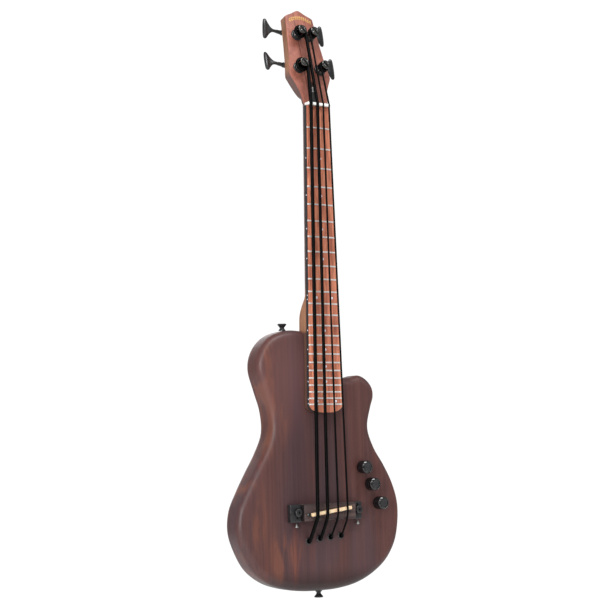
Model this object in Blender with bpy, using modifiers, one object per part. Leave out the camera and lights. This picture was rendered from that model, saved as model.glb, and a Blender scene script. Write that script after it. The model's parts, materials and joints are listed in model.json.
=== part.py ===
"""A 23-inch-scale, four-string, solid-body electric micro bass.

Frame: metres. The origin is the outer face of the end strap button, +Z runs up
the neck, +X is the treble (high string) side and the front of the bass faces -Y.
The plane y = 0 is the middle of the body's thickness.
"""

import math

import bmesh
import bpy
from mathutils import Matrix, Vector

MM = 0.001
GAP = 0.3 * MM                       # air between touching pieces

# Driving dimensions
SCALE_LENGTH = 584.2 * MM            # 23 inches from the nut to the mean saddle line
SADDLE_Z = 132 * MM                  # mean saddle line above the end strap button
FRET_COUNT = 24
BODY_THICKNESS = 42 * MM
BODY_ROUNDING = 12 * MM
BOARD_ABOVE_BODY = 13 * MM           # fingerboard plane in front of the body's top
BOARD_THICKNESS = 6.5 * MM
BOARD_RADIUS = 305 * MM
NUT_HALF_WIDTH = 21.1 * MM           # of the fingerboard, at the nut
NUT_PIECE_HALF_LENGTH = 20.4 * MM
BOARD_END_HALF_WIDTH = 29.7 * MM
BOARD_END_Z = SADDLE_Z + 133.2 * MM
BOARD_END_ROUND = 13 * MM            # height of the curve that ends the fingerboard
NECK_DEPTH = 13.5 * MM               # wood behind the fingerboard
HEEL_DEPTH = 22.5 * MM
HEEL_TOP_Z = SADDLE_Z + 270 * MM
HEEL_FADE = 35 * MM                  # over which the heel runs out into the neck
HEAD_TILT = math.radians(16)
HEAD_THICKNESS = 15 * MM
SHOULDER_Z = 386 * MM
BODY_BOTTOM_Z = 10.6 * MM

# Derived planes
FRONT_Y = -BODY_THICKNESS / 2
BACK_Y = BODY_THICKNESS / 2
BOARD_Y = FRONT_Y - BOARD_ABOVE_BODY
NECK_FRONT_Y = BOARD_Y + BOARD_THICKNESS
NUT_Z = SADDLE_Z + SCALE_LENGTH

# The head's own frame: x across, y into the wood from its face, z up along it
HEAD_ORIGIN = Vector((0, NECK_FRONT_Y, NUT_Z + 4.8 * MM))
HEAD = Matrix.Translation(HEAD_ORIGIN) @ Matrix.Rotation(-HEAD_TILT, 4, "X")
FACING_FRONT = Matrix.Rotation(math.radians(90), 4, "X")     # local z towards -Y
FACING_BACK = Matrix.Rotation(math.radians(-90), 4, "X")     # local z towards +Y

# Strings, bass to treble: name, radius, x at the nut, x at the saddle, hole (x, z), turns on the post
STRINGS = (
    ("e", 2.7 * MM, -15.5 * MM, -26.3 * MM, (-28.2 * MM, 82.9 * MM), 1.125),
    ("a", 2.4 * MM, -3.9 * MM, -9.1 * MM, (-9.2 * MM, 85.9 * MM), 1.25),
    ("d", 1.45 * MM, 6.6 * MM, 9.9 * MM, (9.2 * MM, 86.9 * MM), 1.75),
    ("g", 1.4 * MM, 16.9 * MM, 26.6 * MM, (27.4 * MM, 88.0 * MM), 2.25),
)
STRING_LIFT_AT_NUT = 1.6 * MM        # underside of each string above the board plane
STRING_LIFT_AT_SADDLE = 6.9 * MM
POINTS_A_TURN = 8                     # of a string round its post

# Tuners: post's x and its height along the head, side of its key, key's angle at rest
POSTS = {
    "e": (-18.7 * MM, 58.0 * MM, -1, -6.0),
    "a": (-11.0 * MM, 114.0 * MM, -1, 7.0),
    "d": (11.0 * MM, 114.0 * MM, 1, 13.0),
    "g": (18.7 * MM, 58.0 * MM, 1, 13.0),
}
TUNER_LEAN = math.radians(6.4)       # each tuner stands square to the head's tapering edge
POST_HEIGHT = 20 * MM
POST_WAIST = 5.0 * MM
POST_FLANGE = 7.0 * MM
POST_SHAFT = 4.5 * MM
WORM_ABOVE_POST = 14 * MM
WORM_BEHIND_FACE = 21.4 * MM

# Body outline, from the neck's bass side down round the body to its treble side
BODY_OUTLINE = (
    (-21.1, 385), (-49.1, 386), (-76.1, 378.5), (-93.1, 364.5), (-102.6, 346), (-104, 328),
    (-95.2, 298.6), (-85.8, 269.3), (-84.2, 239), (-96.2, 210.7), (-112.2, 184.4), (-127.5, 157.8),
    (-140.6, 130), (-143.1, 99.7), (-133.5, 70.6), (-117.3, 44.6), (-92.8, 26.3), (-63.9, 16.2),
    (-33.1, 11.6), (0.9, 10.6), (27.9, 11.8), (58.2, 17.2), (86.5, 28.9), (111.3, 47),
    (128.4, 72.3), (135.7, 102.1), (135.9, 132.7), (127, 162.1), (112.4, 189.1), (95.6, 214.9),
    (85.8, 243.6), (92.2, 273.3), (97.3, 289), (95.9, 302), (86.9, 314), (72.9, 321),
    (52.9, 317.5), (38.9, 320), (29.9, 334), (27.9, 352), (24.9, 370), (12.9, 383),
    (-4, 385),
)

# Half of the head's outline: x from the middle, height along the head
HEAD_HALF_OUTLINE = (
    (25.5, 26), (30, 34), (34.4, 42), (35.9, 47), (35.4, 52), (31.2, 76), (28.2, 101),
    (25.8, 125), (24.2, 146), (18.5, 149.2), (12.5, 152), (7, 155.3), (3.5, 157), (0.8, 157.7),
)

# Bridge
BRIDGE_HALF_WIDTH = 44.5 * MM
BRIDGE_HEIGHT = 16 * MM
BRIDGE_LOW_Z = SADDLE_Z - 20 * MM
BRIDGE_TOP_Z = SADDLE_Z + 4 * MM
BRACKET_HEIGHT = 9 * MM
# Its ends: word, side, width of the bracket, x of the clamp screw and of the intonation screw
BRIDGE_ENDS = (
    ("left", -1, 18.5 * MM, -50.8 * MM, -50.6 * MM),
    ("right", 1, 14.6 * MM, 53.4 * MM, 55.4 * MM),
)
CLAMP_Z = SADDLE_Z - 7.4 * MM
SADDLE_LENGTH = 69 * MM
SADDLE_THICKNESS = 5 * MM
SADDLE_MIDDLE = Vector((1.4 * MM, 0, SADDLE_Z - 7.4 * MM))
BRIDGE_TRAVEL = 1 * MM                # towards the end button; twice that towards the nut
SADDLE_SLANT = math.atan2(8, 69)

# Controls and what is behind them
KNOBS = (
    ("volume", 67.9 * MM, 185.6 * MM),
    ("bass", 81.4 * MM, 160.4 * MM),
    ("treble", 95.1 * MM, 132.3 * MM),
)
TOP_OVER_CAVITY = 6 * MM
CAVITY_MIDDLE = Vector((74.8 * MM, 0, 160.4 * MM))
CAVITY_TURN = math.radians(27)       # the cavity leans with the row of knobs
CAVITY_HALF_LENGTH = 47 * MM
CAVITY_HALF_WIDTH = 19 * MM
COVER_MARGIN = 4.5 * MM
COVER_THICKNESS = 1.6 * MM

# Fasteners and fittings
UPPER_BUTTON = Vector((-51.5 * MM, 0, SHOULDER_Z + GAP))
BUTTON_HEIGHT = 10 * MM
JACK_POINT = Vector((135.8 * MM, 0, 106 * MM))
JACK_DIRECTION = Vector((1, 0, 0))
NECK_PLATE_Z = 285 * MM
NECK_SCREW_X = 19 * MM
NECK_SCREW_SPREAD = 10.8 * MM


# ---------------------------------------------------------------- scene and materials

for old in list(bpy.data.objects):
    bpy.data.objects.remove(old, do_unlink=True)

PARTS = bpy.data.collections.new("micro_bass")
CUTTERS = bpy.data.collections.new("cutters")
bpy.context.scene.collection.children.link(PARTS)
bpy.context.scene.collection.children.link(CUTTERS)


def material(name, colour, roughness, metallic=0.0):
    made = bpy.data.materials.new(name)
    made.use_nodes = True
    shader = made.node_tree.nodes["Principled BSDF"]
    shader.inputs["Base Color"].default_value = (*colour, 1)
    shader.inputs["Roughness"].default_value = roughness
    shader.inputs["Metallic"].default_value = metallic
    return made


STAINED_WOOD = material("stained_mahogany", (0.10, 0.045, 0.04), 0.45)
NECK_WOOD = material("neck_mahogany", (0.34, 0.15, 0.09), 0.45)
BOARD_WOOD = material("rosewood_board", (0.42, 0.17, 0.09), 0.5)
BRIDGE_WOOD = material("bridge_rosewood", (0.05, 0.025, 0.02), 0.45)
BONE = material("bone", (0.85, 0.80, 0.68), 0.4)
BLACK_METAL = material("black_metal", (0.015, 0.015, 0.017), 0.35, 0.9)
STEEL = material("steel", (0.62, 0.62, 0.60), 0.3, 1.0)
BLACK_PLASTIC = material("black_plastic", (0.02, 0.02, 0.02), 0.4)
STRING_RUBBER = material("string_rubber", (0.012, 0.012, 0.013), 0.55)
PIEZO_FILM = material("piezo_film", (0.55, 0.42, 0.25), 0.4, 0.6)
CIRCUIT_BOARD = material("circuit_board", (0.03, 0.16, 0.08), 0.5)
BATTERY_SKIN = material("battery_skin", (0.25, 0.26, 0.28), 0.4, 0.5)


# ---------------------------------------------------------------- shape helpers

def place(name, mesh, look, matrix=None, collection=None):
    """A new object with the mesh, its look and its place."""
    made = bpy.data.objects.new(name, mesh)
    (collection or PARTS).objects.link(made)
    if look:
        mesh.materials.append(look)
    made.matrix_world = matrix or Matrix.Identity(4)
    if collection is CUTTERS:
        made.hide_render = True
        made.display_type = "WIRE"
    return made


def mesh_from(work, name):
    mesh = bpy.data.meshes.new(name)
    bmesh.ops.recalc_face_normals(work, faces=work.faces)
    work.to_mesh(mesh)
    work.free()
    return mesh


def box(name, low, high, look=None, matrix=None, collection=None):
    """A box between two corners given in the frame of the matrix."""
    low, high = Vector(low), Vector(high)
    work = bmesh.new()
    size = Matrix.Diagonal((*(high - low), 1))
    bmesh.ops.create_cube(work, size=1, matrix=Matrix.Translation((low + high) / 2) @ size)
    return place(name, mesh_from(work, name), look, matrix, collection)


def cylinder(name, radius, start, end, look=None, matrix=None, collection=None, segments=16):
    """A round bar from start to end, given in the frame of the matrix."""
    start, end = Vector(start), Vector(end)
    along = end - start
    turn = Vector((0, 0, 1)).rotation_difference(along).to_matrix().to_4x4()
    work = bmesh.new()
    bmesh.ops.create_cone(work, cap_ends=True, segments=segments, radius1=radius, radius2=radius,
                          depth=along.length, matrix=Matrix.Translation((start + end) / 2) @ turn)
    return place(name, mesh_from(work, name), look, matrix, collection)


def turned(name, profile, look=None, matrix=None, collection=None, segments=16):
    """A turned piece: the profile of (radius, height) runs down its outer side.

    It starts and ends on the axis, or its last point is its first and it is a ring.
    """
    ring = profile[0] == profile[-1]
    points = [(radius, 0, height) for radius, height in (profile[:-1] if ring else profile)]
    edges = [(i, i + 1) for i in range(len(points) - 1)]
    if ring:
        edges.append((len(points) - 1, 0))
    mesh = bpy.data.meshes.new(name)
    mesh.from_pydata(points, edges, [])
    made = place(name, mesh, look, matrix, collection)
    screw = made.modifiers.new("turn", "SCREW")
    screw.steps = segments
    screw.render_steps = segments
    screw.use_merge_vertices = True
    screw.merge_threshold = 0.00005
    return made


def mm_profile(*points):
    return [(radius * MM, height * MM) for radius, height in points]


def plate(name, outline, thickness, look=None, matrix=None, collection=None, rounding=0.0, steps=2):
    """A flat outline of (x, y) points, closed and extruded half its thickness each way along z.

    The rounding is a quarter round on both edges, inside the outline.
    """
    curve = bpy.data.curves.new(name, "CURVE")
    curve.dimensions = "2D"
    curve.fill_mode = "BOTH"
    curve.extrude = thickness / 2 - rounding
    curve.bevel_depth = rounding
    curve.bevel_resolution = steps
    curve.offset = -rounding
    line = curve.splines.new("POLY")
    line.points.add(len(outline) - 1)
    for point, (x, y) in zip(line.points, outline):
        point.co = (x, y, 0, 1)
    line.use_cyclic_u = True
    return as_mesh(curve, name, look, matrix, collection)


def as_mesh(curve, name, look, matrix, collection):
    """The mesh of a curve, its caps welded, in an object of its own."""
    guide = bpy.data.objects.new(name, curve)
    PARTS.objects.link(guide)
    view = bpy.context.evaluated_depsgraph_get()
    view.update()
    mesh = bpy.data.meshes.new_from_object(guide.evaluated_get(view))
    bpy.data.objects.remove(guide)
    work = bmesh.new()
    work.from_mesh(mesh)
    bmesh.ops.remove_doubles(work, verts=work.verts, dist=0.000001)
    bmesh.ops.recalc_face_normals(work, faces=work.faces)
    work.to_mesh(mesh)
    work.free()
    mesh.name = name
    return place(name, mesh, look, matrix, collection)


def tube(name, points, radius, look=None, collection=None):
    """A round bar along a list of points."""
    curve = bpy.data.curves.new(name, "CURVE")
    curve.dimensions = "3D"
    curve.bevel_depth = radius
    curve.bevel_resolution = 2
    curve.use_fill_caps = True
    line = curve.splines.new("POLY")
    line.points.add(len(points) - 1)
    for point, place_ in zip(line.points, points):
        point.co = (*place_, 1)
    return as_mesh(curve, name, look, None, collection)


def boolean(target, other, operation):
    change = target.modifiers.new(operation.lower(), "BOOLEAN")
    change.operation = operation
    change.solver = "EXACT"
    change.object = other


def cut(target, *others):
    for other in others:
        boolean(target, other, "DIFFERENCE")


def join(target, *others):
    for other in others:
        boolean(target, other, "UNION")


def smooth_through(points, closed, steps):
    """Points on a centripetal Catmull-Rom curve through the given ones."""
    count = len(points)
    given = [Vector(point) for point in points]

    def at(index):
        if closed:
            return given[index % count]
        return given[max(0, min(count - 1, index))]

    made = []
    for i in range(count if closed else count - 1):
        a, b, c, d = at(i - 1), at(i), at(i + 1), at(i + 2)
        ab = max(math.sqrt((b - a).length), 1e-9)
        bc = max(math.sqrt((c - b).length), 1e-9)
        cd = max(math.sqrt((d - c).length), 1e-9)
        leave = (c - b) + ((b - a) / ab - (c - a) / (ab + bc)) * bc
        arrive = (c - b) + ((d - c) / cd - (d - b) / (bc + cd)) * bc
        for step in range(steps):
            t = step / steps
            made.append(b * (2 * t**3 - 3 * t**2 + 1) + leave * (t**3 - 2 * t**2 + t)
                        + c * (3 * t**2 - 2 * t**3) + arrive * (t**3 - t**2))
    if not closed:
        made.append(given[-1])
    return made


def rounded_rectangle(half_x, half_y, radius, steps=4):
    points = []
    for turn, (sx, sy) in enumerate(((1, 1), (-1, 1), (-1, -1), (1, -1))):
        for step in range(steps + 1):
            angle = math.radians(90) * (turn + step / steps)
            points.append((sx * (half_x - radius) + radius * math.cos(angle),
                           sy * (half_y - radius) + radius * math.sin(angle)))
    return points


def ease(value, low, high):
    """0 below low, 1 above high and a smooth step between."""
    t = max(0.0, min(1.0, (value - low) / (high - low)))
    return t * t * (3 - 2 * t)


def board_half_width(z):
    share = (NUT_Z - z) / (NUT_Z - BOARD_END_Z)
    return NUT_HALF_WIDTH + share * (BOARD_END_HALF_WIDTH - NUT_HALF_WIDTH)


def board_end_half_width(z):
    """Half width of the board with its rounded end."""
    left = max(0.0, 1 - (z - BOARD_END_Z) / BOARD_END_ROUND)
    return board_half_width(z) * (1 - left**2.5) ** 0.4


def fret_z(number):
    return NUT_Z - SCALE_LENGTH * (1 - 2 ** (-number / 12))


def on_front(x, z, y=0.0):
    """A frame at a point of the front, its z axis pointing out of the face."""
    return Matrix.Translation((x, FRONT_Y + y, z)) @ FACING_FRONT


# ---------------------------------------------------------------- neck, head and fingerboard

def neck_section(z):
    """Half width, depth and squareness of the neck at a height."""
    heel = 1 - ease(z, HEEL_TOP_Z, HEEL_TOP_Z + HEEL_FADE)
    depth = NECK_DEPTH + heel * (HEEL_DEPTH - NECK_DEPTH)
    return board_end_half_width(z - GAP) - GAP, depth, 2.3 + heel * 9.7


def section_points(half_width, depth, squareness, matrix):
    """A section flat in front (local y = 0) with a rounded back, in the frame of the matrix."""
    points = []
    count = 14
    for i in range(count + 1):
        angle = math.pi * i / count
        c, s = math.cos(angle), math.sin(angle)
        x = half_width * math.copysign(abs(c) ** (2 / squareness), c)
        y = depth * abs(s) ** (2 / squareness)
        points.append(matrix @ Vector((x, y, 0)))
    return points


def loft(name, sections, look):
    """A closed solid through sections with the same number of points."""
    work = bmesh.new()
    rings = [[work.verts.new(point) for point in section] for section in sections]
    for one, two in zip(rings, rings[1:]):
        for i, vertex in enumerate(one):
            j = (i + 1) % len(one)
            work.faces.new((vertex, one[j], two[j], two[i]))
    work.faces.new(rings[0])
    work.faces.new(rings[-1])
    return place(name, mesh_from(work, name), look)


def make_neck():
    sections = []
    start = BOARD_END_Z + GAP
    heights = [start + share * BOARD_END_ROUND for share in (0.01, 0.05, 0.15, 0.35, 0.65, 1)]
    heights += [HEEL_TOP_Z + share * HEEL_FADE for share in (0, 0.2, 0.4, 0.6, 0.8, 1)]
    heights += [HEEL_TOP_Z + 100 * MM, HEEL_TOP_Z + 200 * MM, NUT_Z - 12 * MM, NUT_Z]
    for z in heights:
        half_width, depth, squareness = neck_section(z)
        frame = Matrix.Translation((0, NECK_FRONT_Y, z))
        sections.append(section_points(half_width, depth, squareness, frame))
    root = ((5, 21.8, 13.7, 2.4), (10, 22.1, 13.9, 2.9), (16, 23.2, 14.2, 3.8), (22, 24.8, 14.4, 6),
            (28, 27, 14.5, 14))
    for along, half_width, depth, squareness in root:
        frame = HEAD @ Matrix.Translation((0, 0, along * MM))
        sections.append(section_points(half_width * MM, depth * MM, squareness, frame))
    neck = loft("neck", sections, NECK_WOOD)

    half = [Vector((x * MM, z * MM)) for x, z in HEAD_HALF_OUTLINE]
    outline = half + [Vector((-point.x, point.y)) for point in reversed(half)]
    flat = HEAD @ Matrix.Translation((0, HEAD_THICKNESS / 2, 0)) @ FACING_FRONT
    join(neck, plate("head_plate", outline, HEAD_THICKNESS, None, flat, CUTTERS))

    rod_slot = box("rod_slot", (-3.2 * MM, -1 * MM, SADDLE_Z + 150 * MM),
                   (3.2 * MM, 9 * MM, NUT_Z + 5 * MM), None,
                   Matrix.Translation((0, NECK_FRONT_Y, 0)), CUTTERS)
    access = box("rod_access", (-4.5 * MM, -14 * MM, 1 * MM), (4.5 * MM, 4.2 * MM, 46 * MM),
                 None, rod_frame(), CUTTERS)
    cut(neck, rod_slot, access)
    for key, (x, along, _, _) in POSTS.items():
        hole = cylinder("post_hole_" + key, 7 * MM, (x, -2 * MM, along),
                        (x, HEAD_THICKNESS + 2 * MM, along), None, HEAD, CUTTERS)
        cut(neck, hole)
    for number, (x, z) in enumerate(neck_screw_places(), 1):
        heel_back = NECK_FRONT_Y + HEEL_DEPTH
        pilot = cylinder("pilot_%d" % number, 1.95 * MM, (x, heel_back - 14 * MM, z),
                         (x, heel_back + 2 * MM, z), None, None, CUTTERS, 12)
        cut(neck, pilot)


def rod_frame():
    """Frame of the truss-rod nut: it leans back a little so that a key reaches it."""
    start = Vector((0, BOARD_Y + 11.3 * MM, NUT_Z + 3.8 * MM))
    return Matrix.Translation(start) @ Matrix.Rotation(math.radians(-7), 4, "X")


def board_outline(margin=0.0, top=NUT_Z):
    """Outline of the board, or of the body's pocket for it, wider by a margin."""
    points = [(-board_half_width(top) - margin, top)]
    for share in (1, 0.7, 0.45, 0.25, 0.12, 0.05, 0.01):
        z = BOARD_END_Z + share * BOARD_END_ROUND
        points.append((-board_end_half_width(z) - margin, z))
    return points + [(-x, z) for x, z in reversed(points)]


def fret_row(name, half_thickness, half_reach, top_y, foot_y):
    """One box at each fret, from its crown down to the strip that joins the tangs."""
    work = bmesh.new()
    size = Matrix.Diagonal((2 * half_reach, foot_y - top_y, 2 * half_thickness, 1))
    for number in range(1, FRET_COUNT + 1):
        middle = Matrix.Translation((0, (top_y + foot_y) / 2, fret_z(number)))
        bmesh.ops.create_cube(work, size=1, matrix=middle @ size)
    return place(name, mesh_from(work, name), None, None, CUTTERS)


def make_fingerboard():
    blank = BOARD_THICKNESS - GAP + 1 * MM
    flat = Matrix.Translation((0, NECK_FRONT_Y - GAP - blank / 2, 0)) @ FACING_FRONT
    board = plate("fingerboard", board_outline(), blank, BOARD_WOOD, flat)
    crown = cylinder("board_crown", BOARD_RADIUS, (0, BOARD_Y + BOARD_RADIUS, BOARD_END_Z - 20 * MM),
                     (0, BOARD_Y + BOARD_RADIUS, NUT_Z + 20 * MM), None, None, CUTTERS, 192)
    boolean(board, crown, "INTERSECT")
    groove = box("fret_groove", (-2.4 * MM, BOARD_Y + 4.1 * MM, fret_z(FRET_COUNT) - 1 * MM),
                 (2.4 * MM, BOARD_Y + 9 * MM, fret_z(1) + 1 * MM), None, None, CUTTERS)
    slots = fret_row("fret_slots", 0.7 * MM, 2.4 * MM, BOARD_Y - 2 * MM, BOARD_Y + 5 * MM)
    cut(board, groove, slots)


def make_frets():
    """All the frets, with tangs down to one strip let into the underside of the board."""
    frets = box("frets", (-2 * MM, BOARD_Y + 4.4 * MM, fret_z(FRET_COUNT) - 0.7 * MM),
                (2 * MM, BOARD_Y + 5.8 * MM, fret_z(1) + 0.7 * MM), STEEL)
    tangs = fret_row("fret_tangs", 0.4 * MM, 1.8 * MM, BOARD_Y - 0.8 * MM, BOARD_Y + 5 * MM)
    work = bmesh.new()
    section = ((-1.2, 0), (-0.6, 1.1), (0.6, 1.1), (1.2, 0))
    stations = 5
    for number in range(1, FRET_COUNT + 1):
        z = fret_z(number)
        half = board_half_width(z) - 0.4 * MM
        rings = []
        for i in range(stations):
            x = half * (2 * i / (stations - 1) - 1)
            lift = BOARD_Y - GAP + BOARD_RADIUS - math.sqrt(BOARD_RADIUS**2 - x**2)
            rings.append([work.verts.new((x, lift - up * MM, z + off * MM)) for off, up in section])
        for one, two in zip(rings, rings[1:]):
            for i in range(len(section)):
                j = (i + 1) % len(section)
                work.faces.new((one[i], one[j], two[j], two[i]))
        work.faces.new(rings[0])
        work.faces.new(rings[-1])
    join(frets, tangs, place("fret_crowns", mesh_from(work, "fret_crowns"), None, None, CUTTERS))


def make_nut():
    nut = box("nut", (-NUT_PIECE_HALF_LENGTH, BOARD_Y - 4.2 * MM, NUT_Z + GAP),
              (NUT_PIECE_HALF_LENGTH, NECK_FRONT_Y - GAP, NUT_Z + 4.6 * MM), BONE)
    edge = nut.modifiers.new("edges", "BEVEL")
    edge.width = 0.9 * MM
    edge.segments = 2
    for key, radius, nut_x, _, _, _ in STRINGS:
        height = BOARD_Y - STRING_LIFT_AT_NUT - radius
        groove = cylinder("nut_groove_" + key, radius + GAP, (nut_x, height, NUT_Z - 3 * MM),
                          (nut_x, height, NUT_Z + 8 * MM), None, None, CUTTERS, 12)
        wide = box("nut_mouth_" + key, (nut_x - radius - GAP, BOARD_Y - 12 * MM, NUT_Z - 3 * MM),
                   (nut_x + radius + GAP, height - 0.05 * MM, NUT_Z + 8 * MM), None, None, CUTTERS)
        cut(nut, groove, wide)


def make_truss_rod():
    box("truss_rod", (-2.8 * MM, 0.6 * MM, SADDLE_Z + 151 * MM), (2.8 * MM, 8.4 * MM, NUT_Z + 4 * MM),
        STEEL, Matrix.Translation((0, NECK_FRONT_Y, 0)))
    profile = mm_profile((0, 20), (3.1, 20), (3.5, 19.5), (3.5, 2), (2.2, 2), (2.2, 1.2), (0, 1.2))
    turned("truss_rod_nut", profile, BLACK_METAL, rod_frame(), None, 20)


# ---------------------------------------------------------------- tuners

def tuner_base(key):
    """The head's frame moved to a post and turned square to the head's edge."""
    x, along, side, _ = POSTS[key]
    return HEAD @ Matrix.Translation((x, 0, along)) @ Matrix.Rotation(-side * TUNER_LEAN, 4, "Y")


def tuner_frame(key):
    """Frame on the head's face at a post: local z points out of the face."""
    return tuner_base(key) @ FACING_FRONT


def make_post(key):
    """String post, its shaft through the head, and the worm wheel behind."""
    top = POST_HEIGHT / MM
    flange, waist, shaft = POST_FLANGE / MM, POST_WAIST / MM, POST_SHAFT / MM
    profile = mm_profile((0, top), (flange - 0.8, top), (flange, top - 0.8), (flange, top - 1.8),
                         (waist + 0.3, top - 3.2), (waist, top / 2 + 1), (waist + 0.3, 4.4),
                         (flange - 0.4, 3.5), (flange - 0.4, 2.6), (shaft, 2.6),
                         (shaft, -17.6), (10, -17.6), (10, -23.4), (0, -23.4))
    post = turned("tuner_post_" + key, profile, BLACK_METAL, tuner_frame(key))
    slot = box("post_slot_" + key, (-1.1 * MM, -9 * MM, POST_HEIGHT - 1.6 * MM),
               (1.1 * MM, 9 * MM, POST_HEIGHT + 2 * MM), None, tuner_frame(key), CUTTERS)
    cut(post, slot)


def make_bushing(key):
    profile = mm_profile((4.9, 2.2), (8.2, 2.2), (9, 1.5), (9, GAP / MM), (6.7, GAP / MM),
                         (6.7, -8), (4.9, -8), (4.9, 2.2))
    turned("tuner_bushing_" + key, profile, BLACK_METAL, tuner_frame(key))


def make_housing(key):
    """Back plate of a tuner with the two lugs that carry its worm."""
    side = POSTS[key][2]
    frame = tuner_base(key)
    plate_y = HEAD_THICKNESS + GAP
    plate_low, plate_high = plate_y, plate_y + 1.7 * MM
    outer, inner = 11.5 * MM, 8.2 * MM
    low_x, high_x = (-outer, inner) if side < 0 else (-inner, outer)
    housing = box("tuner_housing_" + key, (low_x, plate_low, -13 * MM), (high_x, plate_high, 19.5 * MM),
                  BLACK_METAL, frame)
    for end in (-1, 1):
        near, far = sorted((end * 5 * MM, end * 8 * MM))
        lug = box("lug_%s_%d" % (key, end), (near, plate_high - 0.5 * MM, WORM_ABOVE_POST - 3.9 * MM),
                  (far, WORM_BEHIND_FACE + 3.9 * MM, WORM_ABOVE_POST + 3.9 * MM), None, frame, CUTTERS)
        join(housing, lug)
    worm = Vector((0, WORM_BEHIND_FACE, WORM_ABOVE_POST))
    bore = cylinder("worm_bore_" + key, 2.35 * MM, worm - Vector((14 * MM, 0, 0)),
                    worm + Vector((14 * MM, 0, 0)), None, frame, CUTTERS, 12)
    hole = cylinder("wheel_bore_" + key, 5 * MM, (0, plate_low - 2 * MM, 0),
                    (0, plate_high + 2 * MM, 0), None, frame, CUTTERS, 12)
    cut(housing, bore, hole)


def key_outline():
    """Flared paddle: x across it, y out along the shaft from the post's axis."""
    half = ((1.9, 23), (2.2, 26.5), (3.5, 29.5), (6.4, 32.8), (10.4, 35.8), (14.1, 38.1),
            (16, 40.2), (15.6, 42.4), (11, 43.7))
    points = [(x * MM, y * MM) for x, y in half]
    return points + [(-x, y) for x, y in reversed(points)]


def make_key(key):
    """Worm, shaft and paddle of one tuner, turning on the worm's axis."""
    side, rest = POSTS[key][2:]
    centre = tuner_base(key) @ Matrix.Translation((0, WORM_BEHIND_FACE, WORM_ABOVE_POST))
    outwards = Matrix.Rotation(math.radians(90 * side), 4, "Y")
    frame = centre @ Matrix.Rotation(math.radians(rest), 4, "X") @ outwards
    profile = mm_profile((0, 37), (2.0, 36), (2.3, 28), (2.8, 22), (2.8, 14), (3.7, 13), (3.7, 8.6), (2, 8.6),
                         (2, 4.6), (3.4, 4.6), (3.4, -4.6), (2, -4.6), (2, -7.6), (0, -7.6))
    made = turned("tuner_key_" + key, profile, BLACK_METAL, frame, None, 12)
    upright = Matrix(((0, 0, 1, 0), (1, 0, 0, 0), (0, 1, 0, 0), (0, 0, 0, 1)))
    flat = frame @ Matrix.Rotation(math.radians(90), 4, "Z") @ upright
    paddle = plate("paddle_" + key, key_outline(), 4.2 * MM, None, flat, CUTTERS)
    join(made, paddle)


# ---------------------------------------------------------------- strings

def head_point(x, up, along):
    """World place of a point over the head's face."""
    return HEAD @ Vector((x, -up, along))


def wrap_points(key, radius, turns, nut_point):
    """The string from the nut to its post's inner side and round the post, downwards."""
    x, along, side, _ = POSTS[key]
    round_radius = (POST_WAIST + GAP + radius) / math.cos(math.pi / POINTS_A_TURN) + 0.3 * MM
    start = HEAD.inverted() @ nut_point
    to_post = Vector((x - start.x, along - start.z))
    reach = math.asin(round_radius / to_post.length)
    heading = math.atan2(to_post.y, to_post.x) + side * reach
    first = heading + side * math.radians(90)
    top = POST_HEIGHT - 3.4 * MM - radius
    pitch = 2 * radius + 0.3 * MM
    points = []
    steps = round(turns * POINTS_A_TURN)
    for step in range(steps + 1):
        angle = first - side * math.tau * step / POINTS_A_TURN
        up = top - pitch * step / POINTS_A_TURN
        points.append(head_point(x + round_radius * math.cos(angle), up, along + round_radius * math.sin(angle)))
    return points


def make_string(key, radius, nut_x, saddle_x, hole, turns):
    nut_y = BOARD_Y - STRING_LIFT_AT_NUT - radius
    saddle_y = BOARD_Y - STRING_LIFT_AT_SADDLE - radius
    behind_saddle = SADDLE_THICKNESS / 2 + BRIDGE_TRAVEL + GAP + 0.1 * radius
    saddle_z = SADDLE_MIDDLE.z + saddle_x * math.tan(SADDLE_SLANT) - behind_saddle
    hole_x, hole_z = hole
    nut_back = Vector((nut_x, nut_y + 0.2 * MM, NUT_Z + 4.8 * MM))
    edge_z = BRIDGE_LOW_Z - BRIDGE_TRAVEL - 0.2 * MM
    edge_share = (edge_z - hole_z) / (saddle_z - hole_z)
    edge = Vector((hole_x + edge_share * (saddle_x - hole_x),
                   FRONT_Y - BRIDGE_HEIGHT - GAP - 1.06 * radius, edge_z))
    points = [Vector((hole_x, BACK_Y - 9 * MM, hole_z)), Vector((hole_x, FRONT_Y + 1.5 * MM, hole_z)),
              Vector((hole_x, FRONT_Y - 1.2 * MM - 0.9 * radius, hole_z + 0.3 * MM)), edge,
              Vector((saddle_x, saddle_y, saddle_z)), Vector((nut_x, nut_y, NUT_Z + 0.5 * MM)), nut_back]
    made = tube("string_" + key, points + wrap_points(key, radius, turns, nut_back), radius, STRING_RUBBER)
    bead = cylinder("bead_" + key, 3.6 * MM, (hole_x, BACK_Y - 10 * MM, hole_z),
                    (hole_x, BACK_Y - 3 * MM, hole_z), None, None, CUTTERS, 12)
    join(made, bead)
    ferrule = mm_profile((3.6, 1.1), (4.4, 1.1), (5.2, GAP / MM), (4.2, GAP / MM),
                         (4.2, -9), (3.6, -9), (3.6, 1.1))
    turned("string_ferrule_" + key, ferrule, BLACK_METAL, on_front(hole_x, hole_z), None, 12)


# ---------------------------------------------------------------- bridge

def saddle_frame():
    return Matrix.Translation(SADDLE_MIDDLE) @ Matrix.Rotation(-SADDLE_SLANT, 4, "Y")


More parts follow.
